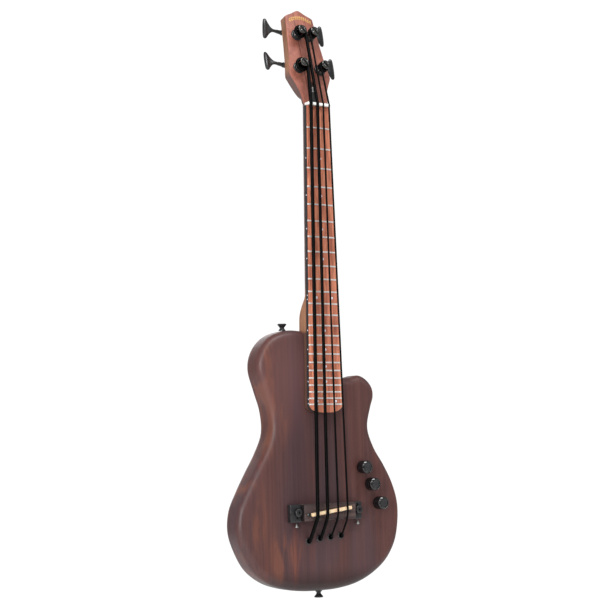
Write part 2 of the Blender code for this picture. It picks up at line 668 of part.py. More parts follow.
def make_bridge():
    base_y = FRONT_Y - GAP
    top_y = FRONT_Y - BRIDGE_HEIGHT
    base = box("bridge_base", (-BRIDGE_HALF_WIDTH, top_y, BRIDGE_LOW_Z),
               (BRIDGE_HALF_WIDTH, base_y, BRIDGE_TOP_Z), BRIDGE_WOOD)
    edge = base.modifiers.new("edges", "BEVEL")
    edge.width = 1.2 * MM
    edge.segments = 2
    half = SADDLE_LENGTH / 2
    floor_y = FRONT_Y - 4 * MM
    slot = box("saddle_slot", (-half - GAP, top_y - 4 * MM, -SADDLE_THICKNESS / 2 - GAP),
               (half + GAP, floor_y, SADDLE_THICKNESS / 2 + GAP), None, saddle_frame(), CUTTERS)
    cut(base, slot)
    box("piezo_pickup", (-half, floor_y - 2 * MM, -1.6 * MM), (half, floor_y - GAP, 1.6 * MM),
        PIEZO_FILM, saddle_frame())
    saddle = box("saddle", (-half, BOARD_Y - STRING_LIFT_AT_SADDLE + GAP, -SADDLE_THICKNESS / 2),
                 (half, floor_y - 2 * MM - GAP, SADDLE_THICKNESS / 2), BONE, saddle_frame())
    crown = saddle.modifiers.new("crown", "BEVEL")
    crown.width = 0.8 * MM
    crown.segments = 2
    for end in BRIDGE_ENDS:
        make_bridge_end(base, *end)


def make_bridge_end(base, word, side, bracket_width, clamp_x, screw_x):
    """Bracket, clamp screw and intonation screw of one end, and the base's tongue in the bracket."""
    near = BRIDGE_HALF_WIDTH + GAP
    far = near + bracket_width
    top_y = FRONT_Y - BRACKET_HEIGHT
    base_y = FRONT_Y - GAP
    mirror = Matrix.Diagonal((side, 1, 1, 1))

    def sided_box(name, low, high, look=None, collection=None):
        corners = [mirror @ Vector(low), mirror @ Vector(high)]
        lowest = [min(pair) for pair in zip(*corners)]
        highest = [max(pair) for pair in zip(*corners)]
        return box(name, lowest, highest, look, None, collection)

    bracket = sided_box("bridge_bracket_" + word, (near, top_y, SADDLE_Z - 21 * MM),
                        (far, base_y, SADDLE_Z + 4 * MM), BLACK_METAL)
    edge = bracket.modifiers.new("edges", "BEVEL")
    edge.width = 0.8 * MM
    edge.segments = 2
    room = sided_box("tongue_room_" + word, (near - 2 * MM, FRONT_Y - 6.2 * MM, SADDLE_Z - 18 * MM),
                     (far - 1.2 * MM, FRONT_Y + 2 * MM, SADDLE_Z - 9.8 * MM), None, CUTTERS)
    clamp_hole = cylinder("clamp_hole_" + word, 2.8 * MM, (clamp_x, FRONT_Y - 20 * MM, CLAMP_Z),
                          (clamp_x, FRONT_Y + 5 * MM, CLAMP_Z), None, None, CUTTERS, 12)
    screw_y = FRONT_Y - 3.8 * MM
    screw_hole = cylinder("screw_hole_" + word, 1.7 * MM, (screw_x, screw_y, SADDLE_Z - 30 * MM),
                          (screw_x, screw_y, SADDLE_Z - 16 * MM), None, None, CUTTERS, 12)
    cut(bracket, room, clamp_hole, screw_hole)

    tongue = sided_box("tongue_" + word, (near - 3 * MM, FRONT_Y - 5.8 * MM, SADDLE_Z - 15.6 * MM),
                       (far - 1.7 * MM, FRONT_Y - 0.6 * MM, SADDLE_Z - 12.2 * MM), None, CUTTERS)
    thread = cylinder("thread_hole_" + word, 1.7 * MM, (screw_x, screw_y, SADDLE_Z - 20 * MM),
                      (screw_x, screw_y, SADDLE_Z - 8 * MM), None, None, CUTTERS, 12)
    join(base, tongue)
    cut(base, thread)

    clamp = mm_profile((0, 13), (5.9, 13), (5.9, 9.4), (2.5, 9.4), (2.5, -12), (0, -12))
    turned("bridge_clamp_screw_" + word, clamp, BLACK_METAL, on_front(clamp_x, CLAMP_Z))
    down = Matrix.Translation((screw_x, screw_y, SADDLE_Z)) @ Matrix.Rotation(math.pi, 4, "X")
    screw = mm_profile((0, 28.8), (2.6, 28.8), (2.6, 28.2), (1.4, 26.2), (1.4, 10.4), (0, 10.4))
    turned("intonation_screw_" + word, screw, STEEL, down, None, 12)


# ---------------------------------------------------------------- controls and fittings

def make_control(word, x, z):
    """A knob with the shaft that it turns, and its potentiometer under the top."""
    knob = mm_profile((0, 16.8), (7.6, 16.4), (9.2, 15), (9.4, 0.8), (7.6, 0.8),
                      (7.6, 9), (3, 9), (3, -7), (0, -7))
    turned(word + "_knob", knob, BLACK_PLASTIC, on_front(x, z), None, 20)
    under = TOP_OVER_CAVITY / MM + GAP / MM
    pot = mm_profile((0, -8), (3.3, -8), (3.3, 4), (4.7, 4), (4.7, -under), (8.2, -under),
                     (8.2, -under - 9), (0, -under - 9))
    turned(word + "_pot", pot, STEEL, on_front(x, z), None, 14)


def cavity_frame(y):
    """Frame on the slanted control cavity, its local z pointing out of the back."""
    lean = Matrix.Rotation(CAVITY_TURN, 4, "Y")
    return Matrix.Translation((CAVITY_MIDDLE.x, y, CAVITY_MIDDLE.z)) @ lean.inverted() @ FACING_BACK


def cover_outline(margin):
    return rounded_rectangle(CAVITY_HALF_WIDTH + margin, CAVITY_HALF_LENGTH + margin, 9 * MM)


def make_electronics():
    plate("control_cover", cover_outline(COVER_MARGIN - GAP), COVER_THICKNESS, BLACK_PLASTIC,
          cavity_frame(BACK_Y - 0.1 * MM - COVER_THICKNESS / 2))
    box("preamp_board", (-14 * MM, -24 * MM, 0), (14 * MM, 24 * MM, 1.6 * MM), CIRCUIT_BOARD,
        cavity_frame(-5 * MM))
    box("battery", (-13.2 * MM, -24.2 * MM, 0), (13.2 * MM, 24.2 * MM, 17 * MM), BATTERY_SKIN,
        cavity_frame(1 * MM))


def make_strap_button(word, matrix, height):
    """Waisted button with a separate screw down its axis; local z points away from the wood."""
    top = height / MM
    button = mm_profile((2.2, top), (6.4, top), (7, top - 0.7), (7, top - 2), (3.5, top - 3.6),
                        (3.5, 3), (5.6, 0.5), (5.6, 0), (2.2, 0), (2.2, top))
    turned(word + "_strap_button", button, BLACK_METAL, matrix)
    screw = mm_profile((0, top), (1.9, top), (1.9, -18), (0.8, -21), (0, -21))
    turned(word + "_strap_button_screw", screw, BLACK_METAL, matrix, None, 12)


def jack_frame():
    turn = Vector((0, 0, 1)).rotation_difference(JACK_DIRECTION).to_matrix().to_4x4()
    return Matrix.Translation(JACK_POINT) @ turn


def make_jack():
    jack = mm_profile((0, -21), (3.2, -21), (3.2, 3.4), (5.6, 3.4), (5.6, 1.2), (12, 1.2),
                      (12, -1.2), (7.4, -1.2), (7.4, -26), (0, -26))
    turned("output_jack", jack, BLACK_METAL, jack_frame(), None, 20)


def neck_screw_places():
    return [(x, NECK_PLATE_Z + dz) for dz in (-NECK_SCREW_SPREAD, NECK_SCREW_SPREAD)
            for x in (-NECK_SCREW_X, NECK_SCREW_X)]


def make_neck_fixing():
    flat = Matrix.Translation((0, BACK_Y + GAP + 1 * MM, NECK_PLATE_Z)) @ FACING_BACK
    holder = plate("neck_plate", rounded_rectangle(25 * MM, 21 * MM, 6 * MM), 2 * MM, BLACK_METAL, flat)
    for number, (x, z) in enumerate(neck_screw_places(), 1):
        hole = cylinder("plate_hole_%d" % number, 2.6 * MM, (x, BACK_Y - 2 * MM, z),
                        (x, BACK_Y + 6 * MM, z), None, None, CUTTERS, 12)
        cut(holder, hole)
        frame = Matrix.Translation((x, BACK_Y + GAP + 2 * MM + GAP, z)) @ FACING_BACK
        screw = mm_profile((0, 1.9), (2.6, 1.6), (4, 0.4), (4, 0), (1.6, 0), (1.6, -39), (0, -39))
        turned("neck_screw_%d" % number, screw, STEEL, frame, None, 12)


# ---------------------------------------------------------------- body

def make_body():
    outline = smooth_through([(x * MM, z * MM) for x, z in BODY_OUTLINE], True, 2)
    body = plate("body", outline, BODY_THICKNESS, STAINED_WOOD, FACING_FRONT, None, BODY_ROUNDING, 2)
    heel_back = NECK_FRONT_Y + HEEL_DEPTH
    pocket_outline = board_outline(GAP, SHOULDER_Z + 14 * MM)
    pocket_depth = 30 * MM
    pocket = plate("neck_pocket", pocket_outline, pocket_depth, None,
                   Matrix.Translation((0, heel_back + GAP - pocket_depth / 2, 0)) @ FACING_FRONT, CUTTERS)
    cavity_deep = BODY_THICKNESS - TOP_OVER_CAVITY + 4 * MM
    cavity = plate("control_cavity", rounded_rectangle(CAVITY_HALF_WIDTH, CAVITY_HALF_LENGTH, 7 * MM),
                   cavity_deep, None, cavity_frame(FRONT_Y + TOP_OVER_CAVITY + cavity_deep / 2), CUTTERS)
    recess = plate("cover_recess", cover_outline(COVER_MARGIN), 8 * MM, None,
                   cavity_frame(BACK_Y - 2 * MM + 4 * MM), CUTTERS)
    cut(body, pocket, cavity, recess)

    holes = []
    for word, x, z in KNOBS:
        holes.append(("knob_hole_" + word, 5.1 * MM, (x, FRONT_Y - 3 * MM, z),
                      (x, FRONT_Y + TOP_OVER_CAVITY + 3 * MM, z)))
    for key, _, _, _, (x, z), _ in STRINGS:
        holes.append(("string_hole_" + key, 4.5 * MM, (x, FRONT_Y - 3 * MM, z), (x, BACK_Y + 3 * MM, z)))
    for word, _, _, clamp_x, _ in BRIDGE_ENDS:
        holes.append(("clamp_pilot_" + word, 2.9 * MM, (clamp_x, FRONT_Y - 3 * MM, CLAMP_Z),
                      (clamp_x, FRONT_Y + 14 * MM, CLAMP_Z)))
    for number, (x, z) in enumerate(neck_screw_places(), 1):
        holes.append(("neck_hole_%d" % number, 2.6 * MM, (x, -8 * MM, z), (x, BACK_Y + 3 * MM, z)))
    holes.append(("upper_button_pilot", 2.3 * MM, UPPER_BUTTON + Vector((0, 0, 5 * MM)),
                  UPPER_BUTTON - Vector((0, 0, 23 * MM))))
    holes.append(("end_button_pilot", 2.3 * MM, (0, 0, BODY_BOTTOM_Z - 5 * MM),
                  (0, 0, BODY_BOTTOM_Z + 23 * MM)))
    holes.append(("jack_face", 12.4 * MM, JACK_POINT - JACK_DIRECTION * 1.6 * MM,
                  JACK_POINT + JACK_DIRECTION * 8 * MM))
    holes.append(("jack_bore", 7.9 * MM, JACK_POINT - JACK_DIRECTION * 29 * MM,
                  JACK_POINT + JACK_DIRECTION * 2 * MM))
    holes.append(("wire_way", 3 * MM, JACK_POINT - JACK_DIRECTION * 24 * MM, (96 * MM, 0, 124 * MM)))
    for name, radius, start, end in holes:
        cut(body, cylinder(name, radius, start, end, None, None, CUTTERS, 12))


make_body()
make_neck()
make_fingerboard()
make_frets()
make_nut()
make_truss_rod()
for string_key in POSTS:
    make_post(string_key)
    make_bushing(string_key)
    make_housing(string_key)
    make_key(string_key)
for string in STRINGS:
    make_string(*string)
make_bridge()
for control in KNOBS:
    make_control(*control)
make_electronics()
make_strap_button("upper", Matrix.Translation(UPPER_BUTTON), BUTTON_HEIGHT)
make_strap_button("end", Matrix.Translation((0, 0, BODY_BOTTOM_Z - GAP)) @ Matrix.Rotation(math.pi, 4, "X"),
                  BODY_BOTTOM_Z - GAP)
make_jack()
make_neck_fixing()

for made in PARTS.objects:
    made.data.shade_smooth()
    made.data.set_sharp_from_angle(angle=math.radians(35))
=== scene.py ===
"""Fine pieces and materials of an electric micro bass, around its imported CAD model.

Frame: metres. The origin is the outer face of the end strap button, +Z runs up the
neck, +X is the treble side and the front faces -Y. Tables of sizes are in millimetres.
"""

import json
import math

import bmesh
import bpy
from mathutils import Matrix, Vector

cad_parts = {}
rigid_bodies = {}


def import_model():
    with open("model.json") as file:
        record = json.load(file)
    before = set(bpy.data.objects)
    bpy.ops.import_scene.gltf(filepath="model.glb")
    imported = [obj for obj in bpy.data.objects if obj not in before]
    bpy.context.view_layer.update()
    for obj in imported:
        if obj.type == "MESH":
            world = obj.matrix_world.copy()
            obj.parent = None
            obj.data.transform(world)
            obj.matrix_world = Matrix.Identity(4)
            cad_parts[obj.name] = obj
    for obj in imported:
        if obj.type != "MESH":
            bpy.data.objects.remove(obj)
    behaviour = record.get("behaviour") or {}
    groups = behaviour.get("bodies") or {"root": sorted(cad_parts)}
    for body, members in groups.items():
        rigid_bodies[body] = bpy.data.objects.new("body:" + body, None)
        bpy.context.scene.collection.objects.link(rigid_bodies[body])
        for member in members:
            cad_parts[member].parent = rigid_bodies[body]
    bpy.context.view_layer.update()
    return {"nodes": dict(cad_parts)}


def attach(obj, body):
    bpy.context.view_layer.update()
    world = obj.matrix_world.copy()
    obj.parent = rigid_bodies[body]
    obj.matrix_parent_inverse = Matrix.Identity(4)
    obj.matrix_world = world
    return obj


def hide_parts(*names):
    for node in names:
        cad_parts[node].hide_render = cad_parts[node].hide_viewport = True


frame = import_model()

MM = 0.001
SADDLE_Z = 132 * MM
SCALE_LENGTH = 584.2 * MM
NUT_Z = SADDLE_Z + SCALE_LENGTH
FRET_COUNT = 24
FRONT_Y = -21 * MM
BACK_Y = 21 * MM
BOARD_Y = -34 * MM                   # crown of the fingerboard
NECK_FRONT_Y = -27.5 * MM            # glue face between neck and fingerboard
BOARD_END_Z = SADDLE_Z + 133.2 * MM
BOARD_END_ROUND = 13 * MM            # height of the curve that ends the fingerboard
BOARD_RADIUS = 305 * MM
HEEL_TOP_Z = SADDLE_Z + 270 * MM
HEEL_FADE = 35 * MM
HEAD_THICKNESS = 15

ROOT = "instrument"


# ---- frames

def spin(axis, degrees):
    return Matrix.Rotation(math.radians(degrees), 4, axis)


def shift(x, y, z):
    """A move in mm."""
    return Matrix.Translation((x * MM, y * MM, z * MM))


def at(matrix, x, y, z=0.0):
    """The place in metres of a point in mm in the matrix's frame."""
    return matrix @ (Vector((x, y, z)) * MM)


def on_front(x, z, y=0):
    """A frame on the front, its z axis pointing out of it; all in mm."""
    return shift(x, FRONT_Y / MM + y, z) @ FACING_FRONT


def on_back(x, z, y=0):
    """A frame on the back, its z axis pointing out of it; all in mm."""
    return shift(x, BACK_Y / MM + y, z) @ FACING_BACK


FACING_FRONT = spin("X", 90)         # local z towards -Y
FACING_BACK = spin("X", -90)         # local z towards +Y
HEAD = Matrix.Translation((0, NECK_FRONT_Y, NUT_Z + 4.8 * MM)) @ spin("X", -16)


# ---- mesh making

def corner_arcs(points, closed=False, steps=4):
    """A line with its corners rounded: the last number of each point is its radius."""
    made = []
    count = len(points)
    for i, (*place, radius) in enumerate(points):
        here = Vector(place)
        if radius == 0 or (not closed and i in (0, count - 1)):
            made.append(here)
            continue
        back = Vector(points[i - 1][:-1]) - here
        on = Vector(points[(i + 1) % count][:-1]) - here
        reach = radius / math.tan(back.angle(on) / 2)
        reach = min(reach, back.length * 0.49, on.length * 0.49)
        start = here + back.normalized() * reach
        end = here + on.normalized() * reach
        for step in range(steps + 1):
            t = step / steps
            made.append(start * (1 - t) ** 2 + here * (2 * t * (1 - t)) + end * t * t)
    return made


def smooth_through(points, closed=True, steps=10):
    """Points on a centripetal Catmull-Rom curve through the given ones."""
    given = [Vector(point) for point in points]
    count = len(given)

    def at(index):
        return given[index % count] if closed else given[max(0, min(count - 1, index))]

    made = []
    for i in range(count if closed else count - 1):
        a, b, c, d = at(i - 1), at(i), at(i + 1), at(i + 2)
        ab, bc, cd = (max(math.sqrt((q - p).length), 1e-9) for p, q in ((a, b), (b, c), (c, d)))
        leave = (c - b) + ((b - a) / ab - (c - a) / (ab + bc)) * bc
        arrive = (c - b) + ((d - c) / cd - (d - b) / (bc + cd)) * bc
        for step in range(steps):
            t = step / steps
            made.append(b * (2 * t**3 - 3 * t**2 + 1) + leave * (t**3 - 2 * t**2 + t)
                        + c * (3 * t**2 - 2 * t**3) + arrive * (t**3 - t**2))
    if not closed:
        made.append(given[-1])
    return made


def skin(work, rings, ring=False):
    """A closed surface through rings that have the same number of points."""
    loops = [[work.verts.new(point) for point in points] for points in rings]
    pairs = list(zip(loops, loops[1:]))
    if ring:
        pairs.append((loops[-1], loops[0]))
    for one, two in pairs:
        for i, vertex in enumerate(one):
            j = (i + 1) % len(one)
            work.faces.new((vertex, one[j], two[j], two[i]))
    if not ring:
        for loop in (loops[0], loops[-1]):
            if (loop[0].co - loop[len(loop) // 2].co).length > 1e-6:
                work.faces.new(loop)


def lathe(work, profile, matrix, segments=40, ring=False, reach=None):
    """A profile of (radius, height, corner radius) in mm, turned about the matrix's z axis.

    reach, if given, is the radius as a function of the profile's radius, height and the step.
    """
    rings = []
    for radius, height in corner_arcs(profile, ring):
        points = []
        for i in range(segments):
            angle = math.tau * i / segments
            far = reach(radius, height, i) if reach else radius
            points.append(at(matrix, far * math.cos(angle), far * math.sin(angle), height))
        rings.append(points)
    skin(work, rings, ring)


def slab(work, outline, thickness, rounding, matrix, steps=6, support=1.0):
    """An anticlockwise outline in mm, as thick as stated along z, with quarter-round edges."""
    count = len(outline)
    inward = []
    for i in range(count):
        along = outline[(i + 1) % count] - outline[i - 1]
        inward.append(Vector((-along.y, along.x)).normalized())
    levels = []
    for step in range(steps + 1):
        angle = math.radians(90) * step / steps
        levels.append((rounding * (1 - math.cos(angle)),
                       thickness / 2 - rounding + rounding * math.sin(angle)))
    if rounding == 0:
        levels = [(0, thickness / 2)]
    levels.append((rounding + support, thickness / 2))
    levels = [(inset, -height) for inset, height in reversed(levels)] + levels
    rings = []
    for inset, height in levels:
        rings.append([at(matrix, *(point + side * inset), height) for point, side in zip(outline, inward)])
    skin(work, rings)


def block(work, low, high, rounding, matrix=Matrix.Identity(4), segments=3):
    """A box with rounded edges between two corners in mm, in the frame of the matrix."""
    low, high = Vector(low) * MM, Vector(high) * MM
    size = Matrix.Diagonal((*(high - low), 1))
    made = bmesh.ops.create_cube(work, size=1, matrix=Matrix.Translation((low + high) / 2) @ size)
    edges = list({edge for vertex in made["verts"] for edge in vertex.link_edges})
    corners = made["verts"]
    if rounding:
        result = bmesh.ops.bevel(work, geom=edges, offset=rounding * MM, segments=segments,
                                 profile=0.5, affect="EDGES")
        corners = list({*result["verts"], *[v for face in result["faces"] for v in face.verts]})
    bmesh.ops.transform(work, matrix=matrix, verts=corners)


def tube(work, path, radius, sides=16):
    """A round bar along a dense line of points."""
    rings = []
    along = (path[1] - path[0]).normalized()
    across = along.orthogonal().normalized()
    for i, point in enumerate(path):
        ahead = path[min(i + 1, len(path) - 1)] - path[max(i - 1, 0)]
        turn = along.rotation_difference(ahead)
        along = ahead.normalized()
        across = (turn @ across).normalized()
        other = along.cross(across)
        rings.append([point + radius * (across * math.cos(math.tau * k / sides)
                                        + other * math.sin(math.tau * k / sides)) for k in range(sides)])
    skin(work, rings)


def mesh_of(name, *makers):
    """The mesh that the makers build, each called with the bmesh they share."""
    work = bmesh.new()
    for maker in makers:
        maker(work)
    bmesh.ops.remove_doubles(work, verts=work.verts, dist=0.000001)
    bmesh.ops.recalc_face_normals(work, faces=work.faces)
    mesh = bpy.data.meshes.new(name)
    work.to_mesh(mesh)
    work.free()
    return mesh


def carved(mesh, *cutters):
    """The mesh with the cutters' meshes taken away from it."""
    scene = bpy.context.scene.collection.objects
    target = bpy.data.objects.new("target", mesh)
    scene.link(target)
    helpers = []
    for cutter in cutters:
        helper = bpy.data.objects.new("cutter", cutter)
        scene.link(helper)
        helpers.append(helper)
        change = target.modifiers.new("cut", "BOOLEAN")
        change.operation = "DIFFERENCE"
        change.solver = "EXACT"
        change.object = helper
    view = bpy.context.evaluated_depsgraph_get()
    view.update()
    made = bpy.data.meshes.new_from_object(target.evaluated_get(view))
    for helper in [target, *helpers]:
        bpy.data.objects.remove(helper)
    made.name = mesh.name
    return made


def piece(mesh, look, body, slot, *nodes, sharp=32):
    """The mesh as a shown piece on a CAD body, standing for the named CAD nodes."""
    made = bpy.data.objects.new(mesh.name, mesh)
    bpy.context.scene.collection.objects.link(made)
    mesh.materials.clear()
    mesh.materials.append(look)
    mesh.shade_smooth()
    mesh.set_sharp_from_angle(angle=math.radians(sharp))
    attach(made, body)
    if nodes:
        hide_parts(*nodes)
    return made


def put_mesh(mesh, matrix=Matrix.Identity(4)):
    """A maker that adds a mesh at a place."""
    def add(work):
        copy = mesh.copy()
        copy.transform(matrix)
        work.from_mesh(copy)
        bpy.data.meshes.remove(copy)
    return add


def turned(name, *shape, **options):
    return mesh_of(name, lambda work: lathe(work, *shape, **options))


def boxed(name, *shape):
    return mesh_of(name, lambda work: block(work, *shape))


def slab_mesh(name, *shape, **options):
    return mesh_of(name, lambda work: slab(work, *shape, **options))


def cutter_box(low, high, matrix=Matrix.Identity(4)):
    return boxed("cutter", low, high, 0, matrix)


def cutter_bar(radius, low, high, matrix, segments=24):
    profile = ((0, low, 0), (radius, low, 0), (radius, high, 0), (0, high, 0))
    return turned("cutter", profile, matrix, segments)


# ---- materials

def rgb(red, green, blue):
    """Screen colour from 0 to 255 as the linear colour a shader takes."""
    return tuple((c / 255 / 12.92 if c < 11 else ((c / 255 + 0.055) / 1.055) ** 2.4)
                 for c in (red, green, blue)) + (1,)


class Look:
    """A material being made: its Principled shader and the nodes in front of it."""

    def __init__(self, name, colour, roughness, **sockets):
        self.material = bpy.data.materials.new(name)
        self.material.use_nodes = True
        self.tree = self.material.node_tree
        self.shader = self.tree.nodes["Principled BSDF"]
        self.put("Base Color", colour)
        self.put("Roughness", roughness)
        for key, value in sockets.items():
            self.put(key.replace("_", " "), value)
        self.place = self.add("TexCoord").outputs["Object"]

    def put(self, socket, value, target=None):
        socket = (target or self.shader).inputs[socket]
        if isinstance(value, bpy.types.NodeSocket):
            self.tree.links.new(value, socket)
        else:
            socket.default_value = value

    def add(self, kind, inputs=None, **settings):
        made = self.tree.nodes.new("ShaderNode" + kind)
        for key, value in settings.items():
            setattr(made, key, value)
        for key, value in (inputs or {}).items():
            self.put(key, value, made)
        return made

    def noise(self, scale, detail=4.0, roughness=0.5, offset=(0, 0, 0), distortion=0.0):
        """Noise in cells a metre: one scale for all axes, or one for each."""
        scale = scale if isinstance(scale, tuple) else (scale,) * 3
        mapping = self.add("Mapping", {"Vector": self.place, "Scale": scale, "Location": offset})
        return self.add("TexNoise", {"Vector": mapping.outputs[0], "Scale": 1.0, "Detail": detail,
                                     "Roughness": roughness, "Distortion": distortion}).outputs["Fac"]

    def ramp(self, value, *stops):
        """A colour ramp through (position, colour)."""
        made = self.add("ValToRGB", {"Fac": value})
        line = made.color_ramp.elements
        while len(line) < len(stops):
            line.new(0.5)
        for element, (position, colour) in zip(line, stops):
            element.position = position
            element.color = colour
        return made.outputs["Color"]

    def mask(self, value, low, high):
        """0 where the value is at low or less, 1 at high or more."""
        return self.add("MapRange", {"Value": value, "From Min": low, "From Max": high},
                        interpolation_type="SMOOTHSTEP").outputs["Result"]

    def times(self, one, *others):
        for other in others:
            one = self.math("MULTIPLY", one, other)
        return one

    def without(self, mask):
        return self.math("SUBTRACT", 1.0, mask)

    def math(self, operation, one, two=0.0):
        made = self.add("Math", operation=operation)
        self.put(0, one, made)
        self.put(1, two, made)
        return made.outputs[0]

    def mix(self, share, one, two, blend="MIX"):
        made = self.add("MixRGB", {"Fac": share, "Color1": one, "Color2": two}, blend_type=blend)
        return made.outputs["Color"]

    def tint(self, colour, mask, share, *tone):
        """The colour, with this share of the tone where the mask is 1."""
        return self.mix(self.times(mask, share), colour, rgb(*tone))

    def axis(self, name):
        if not hasattr(self, "axes"):
            self.axes = self.add("SeparateXYZ", {"Vector": self.place}).outputs
        return self.axes[name]

    def near(self, x, y, z, reach, stretch=(1, 1, 1)):
        """1 at a point in mm, falling to 0 at the reach in mm; an axis counts by its stretch."""
        scaled = self.add("Mapping", {"Vector": self.place, "Scale": stretch,
                                      "Location": tuple(-c * s * MM for c, s in zip((x, y, z), stretch))})
        length = self.add("VectorMath", {0: scaled.outputs[0]}, operation="LENGTH").outputs["Value"]
        return self.mask(length, reach * MM, 0)

    def rough(self, noise, spread, least):
        """A roughness that goes with the noise."""
        self.put("Roughness", self.math("ADD", self.times(noise, spread), least))

    def bump(self, height, distance, strength=1.0):
        made = self.add("Bump", {"Height": height, "Strength": strength, "Distance": distance * MM})
        self.put("Normal", made.outputs["Normal"])
        return self


def wood(name, dark, middle, light, roughness, grain, band, streak, pores):
    """Wood of three tones in broad bands, with fine streaks along its grain and short dark pores."""
    look = Look(name, middle, roughness, Specular_IOR_Level=0.35)
    bands = look.noise(band, 3.0, 0.55, distortion=0.4)
    colour = look.ramp(bands, (0.33, dark), (0.5, middle), (0.68, light))
    fine = look.noise(grain, 5.0, 0.62, (3, 7, 1))
    shade = look.ramp(fine, (0.3, (1 - streak,) * 3 + (1,)), (0.62, (1 + streak * 0.35,) * 3 + (1,)))
    colour = look.mix(1.0, colour, shade, "MULTIPLY")
    pore = look.mask(look.noise((1100, 1100, 45), 2.0, 0.5, (11, 2, 5)), 0.36, 0.27)
    pore_colour = tuple(c * 0.35 for c in dark[:3]) + (1,)
    colour = look.mix(look.times(pore, pores * 6), colour, pore_colour)
    look.colour = colour
    look.put("Base Color", colour)
    look.rough(fine, 0.16, roughness - 0.08)
    look.bump(look.math("SUBTRACT", fine, look.times(pore, 1.2)), 0.05, 0.5)
    return look


WORN_PATCHES = (          # x, y, z and reach in mm, and how each axis counts
    (-100, 0, 330, 60, (1, 1, 0.5)), (-92, -8, 262, 46, (1, 1, 0.6)), (-128, -5, 120, 46, (1, 1, 0.6)),
    (-66, -21, 66, 52, (1.5, 1, 0.8)), (122, -10, 140, 36, (1, 1, 0.4)),
)


def stained_wood():
    """The body's dark red-brown stain: purple-grey where it is thick, orange where it is thin, with a painted
    highlight on the upper left and painted shade along the bottom.
    """
    look = wood("stained_mahogany", rgb(73, 52, 56), rgb(83, 56, 55), rgb(91, 58, 54), 0.4,
                grain=(300, 300, 5), band=(24, 24, 2.2), streak=0.22, pores=0.04)
    red = look.mask(look.noise((46, 46, 3.5), 3.0, 0.5, (5, 1, 9)), 0.5, 0.7)
    colour = look.tint(look.colour, red, 0.5, 114, 62, 53)
    grey = look.mask(look.noise((17, 17, 3.2), 2.0, 0.5, (2, 8, 4)), 0.52, 0.68)
    colour = look.tint(colour, grey, 0.35, 72, 61, 69)
    thin = look.mask(look.noise((46, 40, 8), 3.0, 0.5, (1, 4, 2), 0.6), 0.47, 0.7)
    worn = 0.0
    for x, y, z, reach, stretch in WORN_PATCHES:
        worn = look.math("MAXIMUM", worn, look.near(x, y, z, reach, stretch))
    orange = look.times(thin, worn, 1.5)
    colour = look.mix(look.math("MINIMUM", orange, 0.44), colour, rgb(134, 80, 59))
    # painted highlight: a broad lighter patch on the body's upper left, where the light falls strongest
    colour = look.tint(colour, look.near(-45, -21, 320, 110), 0.5, 112, 76, 74)
    # painted shade: the body darkens towards its bottom edge, which faces down and away from the light
    bottom_shade = look.mask(look.axis("Z"), 48 * MM, 12 * MM)
    look.put("Base Color", look.tint(colour, bottom_shade, 0.8, 34, 24, 25))
    return look.material


def neck_wood():
    """Golden-brown neck with a reddish face on the head and thin dark glue lines along it, and painted shade
    beside the nut, in the rod's slot and below the body's top.
    """
    look = wood("neck_mahogany", rgb(128, 86, 64), rgb(152, 106, 80), rgb(170, 122, 92), 0.4,
                grain=(500, 500, 10), band=(60, 60, 3), streak=0.3, pores=0.12)
    face = wood_face(look)
    normal = HEAD.to_3x3() @ Vector((0, 1, 0))
    along_normal = look.add("VectorMath", {0: look.place, 1: tuple(normal)}, operation="DOT_PRODUCT")
    depth = along_normal.outputs["Value"]
    start = normal.dot(HEAD.translation)
    height = look.axis("Z")

    def down_to(deep, deeper):
        """1 above the first depth in mm under the head's face, 0 below the second."""
        return look.mask(depth, start + deeper * MM, start + deep * MM)

    on_face = look.times(down_to(1.2, 1.6), look.mask(height, NUT_Z, NUT_Z + 1 * MM))
    colour = look.mix(on_face, look.colour, face)
    # painted shade: grey-purple darkening on the neck's and head's sides around the nut, off the head's face,
    # where they face down and away from the light
    nut_side_shade = look.times(look.mask(height, NUT_Z + 62 * MM, NUT_Z + 42 * MM),
                            look.mask(height, NUT_Z - 50 * MM, NUT_Z - 10 * MM))
    colour = look.tint(colour, look.times(nut_side_shade, look.without(on_face)), 0.8, 88, 76, 80)
    # painted shade: darker wood inside the truss rod's slot behind the nut
    slot_shade = look.times(look.mask(look.math("ABSOLUTE", look.axis("X")), 7.5 * MM, 7 * MM),
                         down_to(7, 7.5), look.without(down_to(0.6, 1.2)),
                         look.mask(height, NUT_Z - 4 * MM, NUT_Z))
    colour = look.tint(colour, slot_shade, 0.9, 58, 47, 43)
    glue = look.times(look.mask(look.axis("Y"), -22.5 * MM, -24.5 * MM),
                      look.mask(height, 425 * MM, 455 * MM), look.mask(height, NUT_Z + 4 * MM, NUT_Z))
    colour = look.tint(colour, glue, 0.8, 74, 64, 72)
    # painted shade: the neck's wood darkens below the body's top, where it sits shaded in the pocket
    pocket_shade = look.mask(height, 387 * MM, 380 * MM)
    look.put("Base Color", look.tint(colour, pocket_shade, 0.88, 84, 60, 54))
    return look.material


